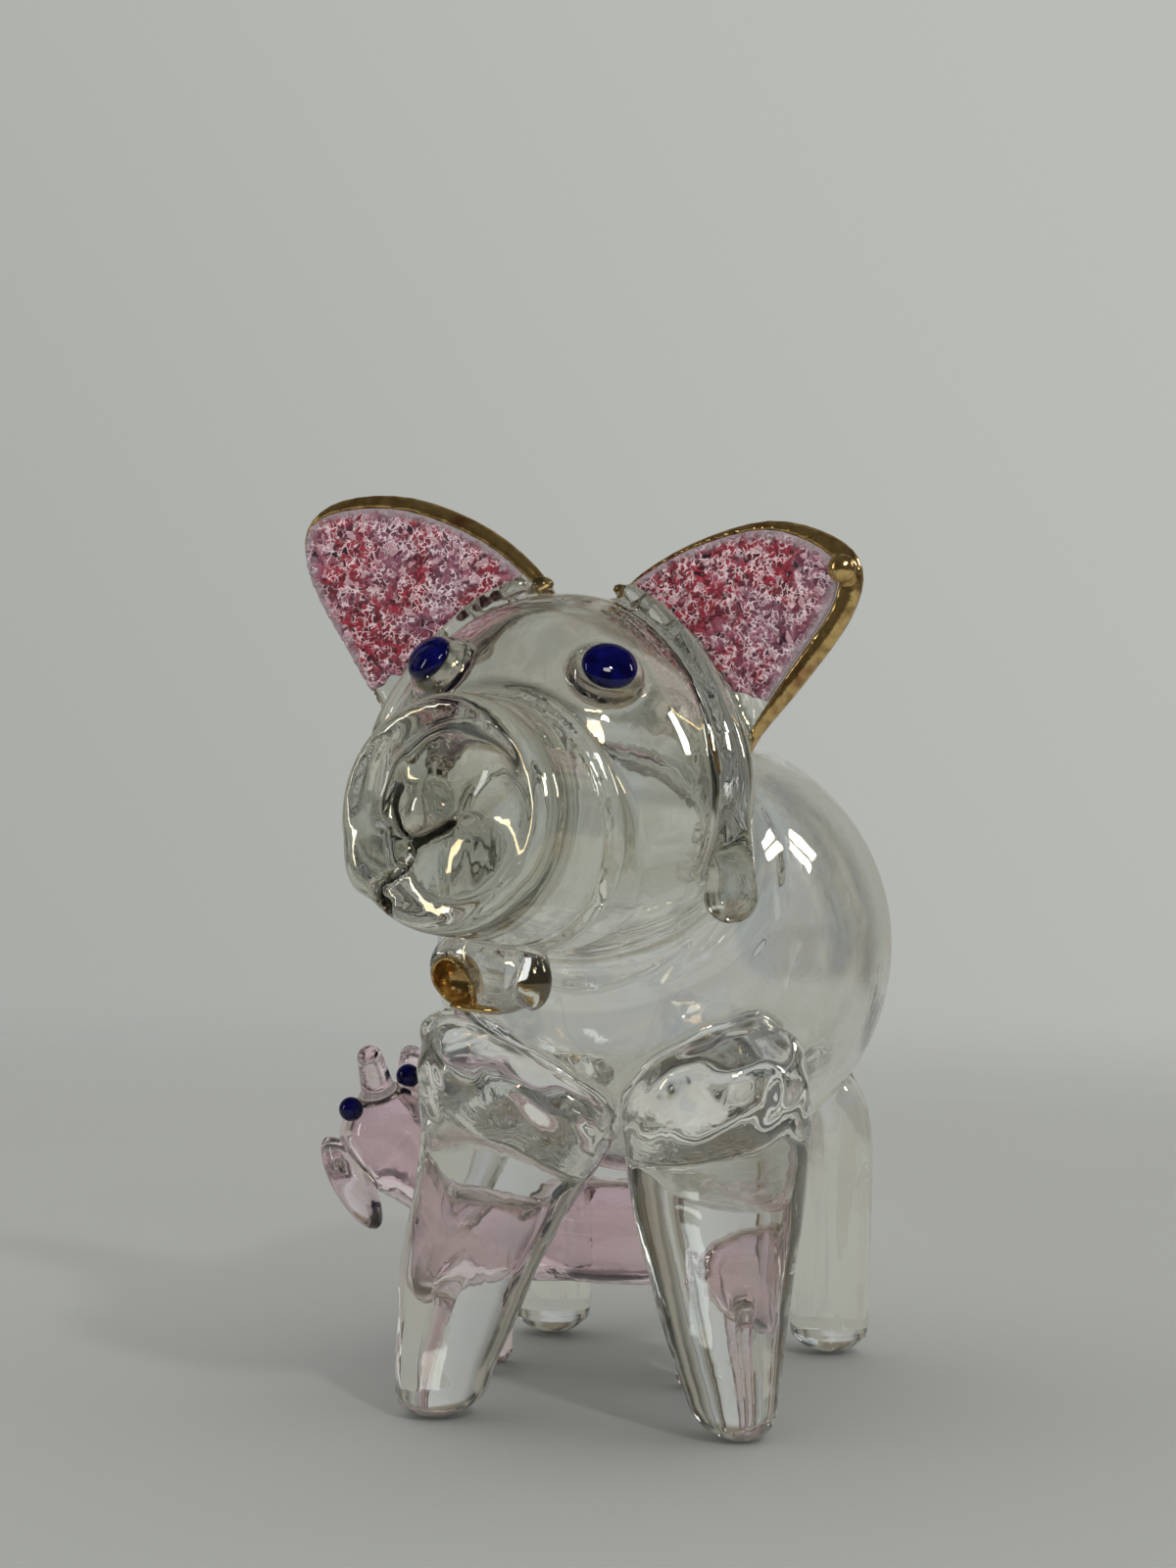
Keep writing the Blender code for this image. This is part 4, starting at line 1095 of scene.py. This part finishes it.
def clear_glass_material(name, film):
    """Clear glass with drawn streaks. Its outside has a thin film that shines faintly.

    The painted darker tint on the head and the painted near-black shade in the folds stand in for the dark
    room that the real head mirrors.
    """
    material, nodes, shader, coords = new_glass(name)
    if film:
        swirl = nodes.noise(coords, 7.0, Distortion=1.2)
        thickness = nodes.ramp(swirl, 0.3, 0.75, *FILM_THICKNESS)
        nodes.fill(shader, {"Thin Film Thickness": thickness, "Thin Film IOR": FILM_IOR})
    cloud = nodes.noise(coords, 9.0)
    tint = nodes.mix(nodes.ramp(cloud, 0.35, 0.7), *CLEAR_TINTS)
    place = nodes.add("SeparateXYZ", {"Vector": coords}).outputs
    # Painted dark reflection over the head, lighter towards the top, in place of the dark room that it
    # mirrors
    forward = nodes.ramp(place["Y"], *(HOME[1] + HEAD_SHADE_FORWARD))
    on_head = nodes.math("MULTIPLY", nodes.ramp(place["Z"], *HEAD_SHADE_UP), forward)
    painted_head_shade = nodes.mix(nodes.ramp(place["Z"], *HEAD_SHADE_CLEARS), *HEAD_DARK_REFLECTION_TINTS)
    tint = nodes.mix(on_head, tint, painted_head_shade)
    # Painted near-black shade in the snout's folds and behind its root ridge
    fold_shade = nodes.add("Attribute", attribute_name="fold_shade").outputs["Fac"]
    tint = nodes.mix(fold_shade, tint, FOLD_PAINTED_SHADE)
    drawn = nodes.add("Mapping", {"Vector": coords, "Scale": (1.0, 0.35, 0.5)}).outputs[0]
    streaks = nodes.noise(drawn, 2.6, Distortion=0.6)
    nodes.fill(shader, {"Base Color": tint, "Normal": nodes.bump(streaks, 0.05)})
    return material


def rose_glass_material():
    material, nodes, shader, coords = new_glass("rose_glass_skin")
    cloud = nodes.noise(coords, 4.0)
    tint = nodes.mix(nodes.ramp(cloud, 0.3, 0.7), *ROSE_TINTS)
    waves = nodes.bump(nodes.noise(coords, 1.6), 0.03)
    nodes.fill(shader, {"Base Color": tint, "Normal": waves})
    return material


def frit_material():
    """Crushed glass: dark crimson grains among pale broken seams, greyer beside the gold."""
    material, nodes, shader, coords = new_material("crushed_pink_glass")
    wander = nodes.add("TexNoise", {"Vector": coords, "Scale": 1500.0, "Detail": 2.0}).outputs["Color"]
    bends = {0: wander, 1: (0.001, 0.001, 0.001), 2: coords}
    bent = nodes.add("VectorMath", bends, operation="MULTIPLY_ADD").outputs[0]
    seam = nodes.cells(bent, GRAIN, "DISTANCE_TO_EDGE").outputs["Distance"]
    grain = nodes.cells(bent, GRAIN).outputs["Color"]
    shade, other = nodes.add("SeparateColor", {"Color": grain}).outputs[:2]
    patch = nodes.noise(coords, 3.4)
    crimson = nodes.mix(shade, *CRIMSONS)
    mauve = nodes.mix(shade, *MAUVES)
    body = nodes.mix(nodes.ramp(patch, 0.46, 0.66), crimson, mauve)
    body = nodes.mix(nodes.ramp(other, 0.88, 0.92), body, PALE_GRAIN)
    body = nodes.mix(nodes.ramp(shade, 0.02, 0.012), body, DARK_GRAIN)
    line = nodes.ramp(seam, 0.13, 0.05)
    broken = nodes.ramp(nodes.noise(coords, 0.8), 0.42, 0.58)
    pale = nodes.mix(nodes.ramp(patch, 0.4, 0.7), *PALE_SEAMS)
    colour = nodes.mix(nodes.math("MULTIPLY", line, broken), body, pale)
    inwards = nodes.add("Attribute", attribute_name="from_gold").outputs["Fac"]
    ragged = nodes.math("MULTIPLY_ADD", nodes.noise(coords, 0.7, 3.0), 1.6, inwards)
    colour = nodes.mix(nodes.ramp(ragged, 1.75, 0.75), colour, FRIT_BY_GOLD)
    looks = {"Base Color": colour, "Roughness": 0.30, "Coat Weight": 1.0, "Coat Roughness": 0.05}
    nodes.fill(shader, {**looks, "Normal": nodes.bump(seam, 0.16)})
    return material


def gold_material():
    """Fired gold: brown where it is thin and bright where it lies thick."""
    material, nodes, shader, coords = new_material("fired_gold")
    thin = nodes.noise(coords, 0.9, 4.0)
    wide = nodes.noise(coords, 4.0)
    gold = nodes.mix(nodes.ramp(thin, 0.35, 0.7), *GOLDS)
    colour = nodes.mix(nodes.ramp(wide, 0.55, 0.75), gold, THIN_GOLD)
    roughness = nodes.ramp(thin, 0.3, 0.8, 0.10, 0.32)
    looks = {"Base Color": colour, "Roughness": roughness, "Normal": nodes.bump(thin, 0.05)}
    nodes.fill(shader, {**looks, "Metallic": 0.9, "Coat Weight": 0.6, "Coat Roughness": 0.04})
    return material


def navy_material():
    material, nodes, shader, coords = new_material("navy_glass_dot")
    swirl = nodes.noise(coords, 1.1)
    navy = nodes.mix(nodes.ramp(swirl, 0.35, 0.7), *NAVIES)
    roughness = nodes.ramp(swirl, 0.3, 0.7, 0.02, 0.06)
    looks = {"Base Color": navy, "Roughness": roughness, "Normal": nodes.bump(swirl, 0.02)}
    nodes.fill(shader, {**looks, "Specular IOR Level": 0.35})
    return material


# Stage


def add_camera():
    data = bpy.data.cameras.new("photo_camera")
    data.sensor_width = SENSOR
    data.lens = PHOTO_FOCAL_PX / PHOTO_HEIGHT_PX * SENSOR
    data.clip_start = 0.01
    camera = add_object("photo_camera", data)
    place = CAMERA_SIDE * RIGHT - CAMERA_DISTANCE * AHEAD + CAMERA_HEIGHT * UP
    turn = turned(90.0 - CAMERA_PITCH, 0.0, CAMERA_YAW) @ turned(z=CAMERA_ROLL)
    camera.matrix_world = Matrix.Translation(place / 1000.0 + HOME) @ Matrix(turn).to_4x4()
    bpy.context.scene.camera = camera


def add_floor():
    """A round floor that fades into the backdrop."""
    radii = [FLOOR_MIDDLE] + [FLOOR_STEP * i for i in range(1, FLOOR_RINGS + 1)]
    turns = np.linspace(0.0, math.tau, FLOOR_SIDES, endpoint=False)
    points = [(radius * math.cos(turn), radius * math.sin(turn), 0.0) for radius in radii for turn in turns]
    faces = [tuple(range(FLOOR_SIDES))]
    for ring, i in itertools.product(range(FLOOR_RINGS), range(FLOOR_SIDES)):
        one, next_one = (ring * FLOOR_SIDES + spot for spot in (i, (i + 1) % FLOOR_SIDES))
        faces.append((one, one + FLOOR_SIDES, next_one + FLOOR_SIDES, next_one))
    mesh = bpy.data.meshes.new("floor")
    mesh.from_pydata(points, [], faces)
    floor = add_object("floor", mesh)

    material, nodes, shader, coords = new_material("floor_grey")
    tone = nodes.mix(nodes.noise(coords, 60.0), *FLOOR_TONES)
    nodes.fill(shader, {"Base Color": tone, "Roughness": 0.8, "Specular IOR Level": 0.2})
    facing = nodes.add("LayerWeight", {"Blend": 0.5}).outputs["Facing"]
    # Through glass the floor glows with painted light and shade: dark and light patches where rays look
    # steeply down, plain grey elsewhere
    painted_patches = nodes.mix(nodes.ramp(nodes.noise(coords, 22.0, 1.0), 0.44, 0.54), *PAINTED_FLOOR_LIGHT_SHADE)
    shine = nodes.mix(nodes.ramp(facing, 0.35, 0.80), painted_patches, FLOOR_IN_GLASS)
    in_glass = nodes.add("Emission", {"Color": shine, "Strength": 1.0}).outputs[0]
    share = nodes.math("MULTIPLY", nodes.add("LightPath").outputs["Is Transmission Ray"], FLOOR_SHOWN)
    solid = nodes.add("MixShader", {0: share, 1: shader.outputs[0], 2: in_glass}).outputs[0]
    away = nodes.add("VectorMath", {0: coords}, operation="LENGTH").outputs["Value"]
    fade = nodes.ramp(away, *FLOOR_FADE, 1.0, 0.0)
    clear = nodes.add("BsdfTransparent").outputs[0]
    both = nodes.add("MixShader", {0: fade, 1: clear, 2: solid}).outputs[0]
    nodes.fill(nodes.tree.nodes["Material Output"], {"Surface": both})
    mesh.materials.append(material)


def add_world():
    """A pale wall behind, a darker room with windows round it, and plain light for the rest."""
    world = bpy.data.worlds.new("room")
    bpy.context.scene.world = world
    world.use_nodes = True
    nodes = Nodes(world.node_tree)
    way = nodes.add("TexCoord").outputs["Generated"]
    along, across = (
        nodes.add("VectorMath", {0: way, 1: tuple(axis)}, operation="DOT_PRODUCT").outputs["Value"]
        for axis in (AHEAD, RIGHT)
    )
    rise = nodes.add("SeparateXYZ", {"Vector": way}).outputs["Z"]

    gradient = nodes.math("ADD", across, nodes.math("MULTIPLY", rise, 0.7))
    wall = nodes.mix(nodes.ramp(gradient, -0.30, 0.30), *BACKDROP)

    furniture = nodes.add("TexNoise", {"Vector": way, "Scale": 3.0, "Detail": 2.0}).outputs["Fac"]
    room = nodes.mix(nodes.ramp(furniture, 0.40, 0.64), *ROOM)
    room = nodes.mix(nodes.ramp(along, 0.45, 0.0), room, ROOM_BEHIND_CAMERA)
    sides = nodes.math("MULTIPLY", nodes.ramp(along, 0.94, 0.78), nodes.ramp(rise, -0.30, -0.12))
    above = nodes.mix(nodes.ramp(rise, 0.20, 0.34), wall, ABOVE_BACKDROP)
    beside = nodes.mix(nodes.ramp(across, 0.12, 0.26), above, BESIDE_BACKDROP)
    inside = nodes.math("MAXIMUM", sides, nodes.ramp(rise, 0.45, 0.65))
    in_glass = nodes.mix(inside, beside, room)

    angles = (nodes.math("ARCTAN2", across, along), nodes.math("ARCSINE", rise))
    rays = nodes.add("LightPath").outputs
    mirrored = nodes.math("SUBTRACT", 1.0, rays["Is Transmission Ray"])
    shown = nodes.math("MAXIMUM", mirrored, WINDOWS_THROUGH_GLASS)
    for middle, half, brightness in WINDOWS:
        pane = shown
        for angle, at, reach in zip(angles, middle, half):
            off = nodes.math("ABSOLUTE", nodes.math("SUBTRACT", angle, math.radians(at)))
            edges = (math.radians(reach + WINDOW_EDGE), math.radians(reach - WINDOW_EDGE))
            pane = nodes.math("MULTIPLY", pane, nodes.ramp(off, *edges))
        in_glass = nodes.mix(pane, in_glass, rgba(brightness, brightness, 0.97 * brightness))

    shiny = nodes.math("MAXIMUM", rays["Is Glossy Ray"], rays["Is Transmission Ray"])
    colour = nodes.mix(shiny, PLAIN_LIGHT, in_glass)
    colour = nodes.mix(rays["Is Camera Ray"], colour, wall)
    nodes.fill(world.node_tree.nodes["Background"], {"Color": colour, "Strength": 1.0})


def add_lamp():
    data = bpy.data.lights.new("front_lamp", "AREA")
    data.shape = "RECTANGLE"
    data.size = data.size_y = LAMP_SIZE
    data.energy = LAMP_POWER
    lamp = add_object("front_lamp", data)
    lamp.location = LAMP_PLACE
    lamp.rotation_mode = "QUATERNION"
    lamp.rotation_quaternion = (LAMP_AIM - LAMP_PLACE).to_track_quat("-Z", "Y")


# Pieces

bpy.context.scene.view_settings.view_transform = "Standard"
for kind in ("max", "transmission", "glossy"):
    setattr(bpy.context.scene.cycles, f"{kind}_bounces", GLASS_BOUNCES)
CLEAR = clear_glass_material("clear_glass_skin", True)
CLEAR_INSIDE = clear_glass_material("clear_glass_inside", False)
ROSE = rose_glass_material()
FRIT = frit_material()
GOLD = gold_material()
NAVY = navy_material()

mother = make_mesh(
    "mother_glass", *mother_glass().skin(PITCH), CLEAR, "mother", CLEAR_INSIDE, inside_bubbles
)
# Marks where the snout's folds get painted near-black shade
mark_points(mother, "fold_shade", snout_fold_shade)
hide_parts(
    "body_bubble", "head_bubble", "snout", "lower_lip", "lip_knob", "eye_bead_left", "eye_bead_right",
    "ear_left", "ear_right", "ear_weld_left", "ear_weld_right", "cheek_trail_left", "cheek_trail_right",
    "front_leg_left", "front_leg_right", "rear_leg_left", "rear_leg_right", "tail",
)
piglet = make_mesh("piglet_glass", *piglet_glass().skin(PIGLET_PITCH), ROSE, "piglet")
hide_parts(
    "piglet_body", "piglet_head", "piglet_snout", "piglet_ear_left", "piglet_ear_right",
    "piglet_front_leg_left", "piglet_front_leg_right", "piglet_rear_leg_left", "piglet_rear_leg_right",
    "piglet_tail",
)
for side, word in ((1.0, "left"), (-1.0, "right")):
    rim = make_mesh(f"gold_rim_{word}", *ear_gold(side).skin(RIM_PITCH), GOLD, "mother")
    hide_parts(f"ear_gold_rim_{word}")
    frit = make_mesh(f"crushed_glass_{word}", *ear_frit(side).skin(FRIT_PITCH), FRIT, "mother")
    mark_points(frit, "from_gold", from_gold(side))
    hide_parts(f"ear_frit_{word}")
    eye = make_mesh(f"eye_{word}", *eye_dot(side).skin(EYE_PITCH), NAVY, "mother")
    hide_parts(f"eye_dot_{word}")
    small_eye = make_mesh(f"little_eye_{word}", *piglet_eye(side).skin(EYE_PITCH), NAVY, "piglet")
    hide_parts(f"piglet_eye_{word}")
lining = make_mesh("gold_mouth", *mouth_gold().skin(EYE_PITCH), GOLD, "mother")
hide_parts("gold_lip_lining")

add_camera()
add_floor()
add_world()
add_lamp()
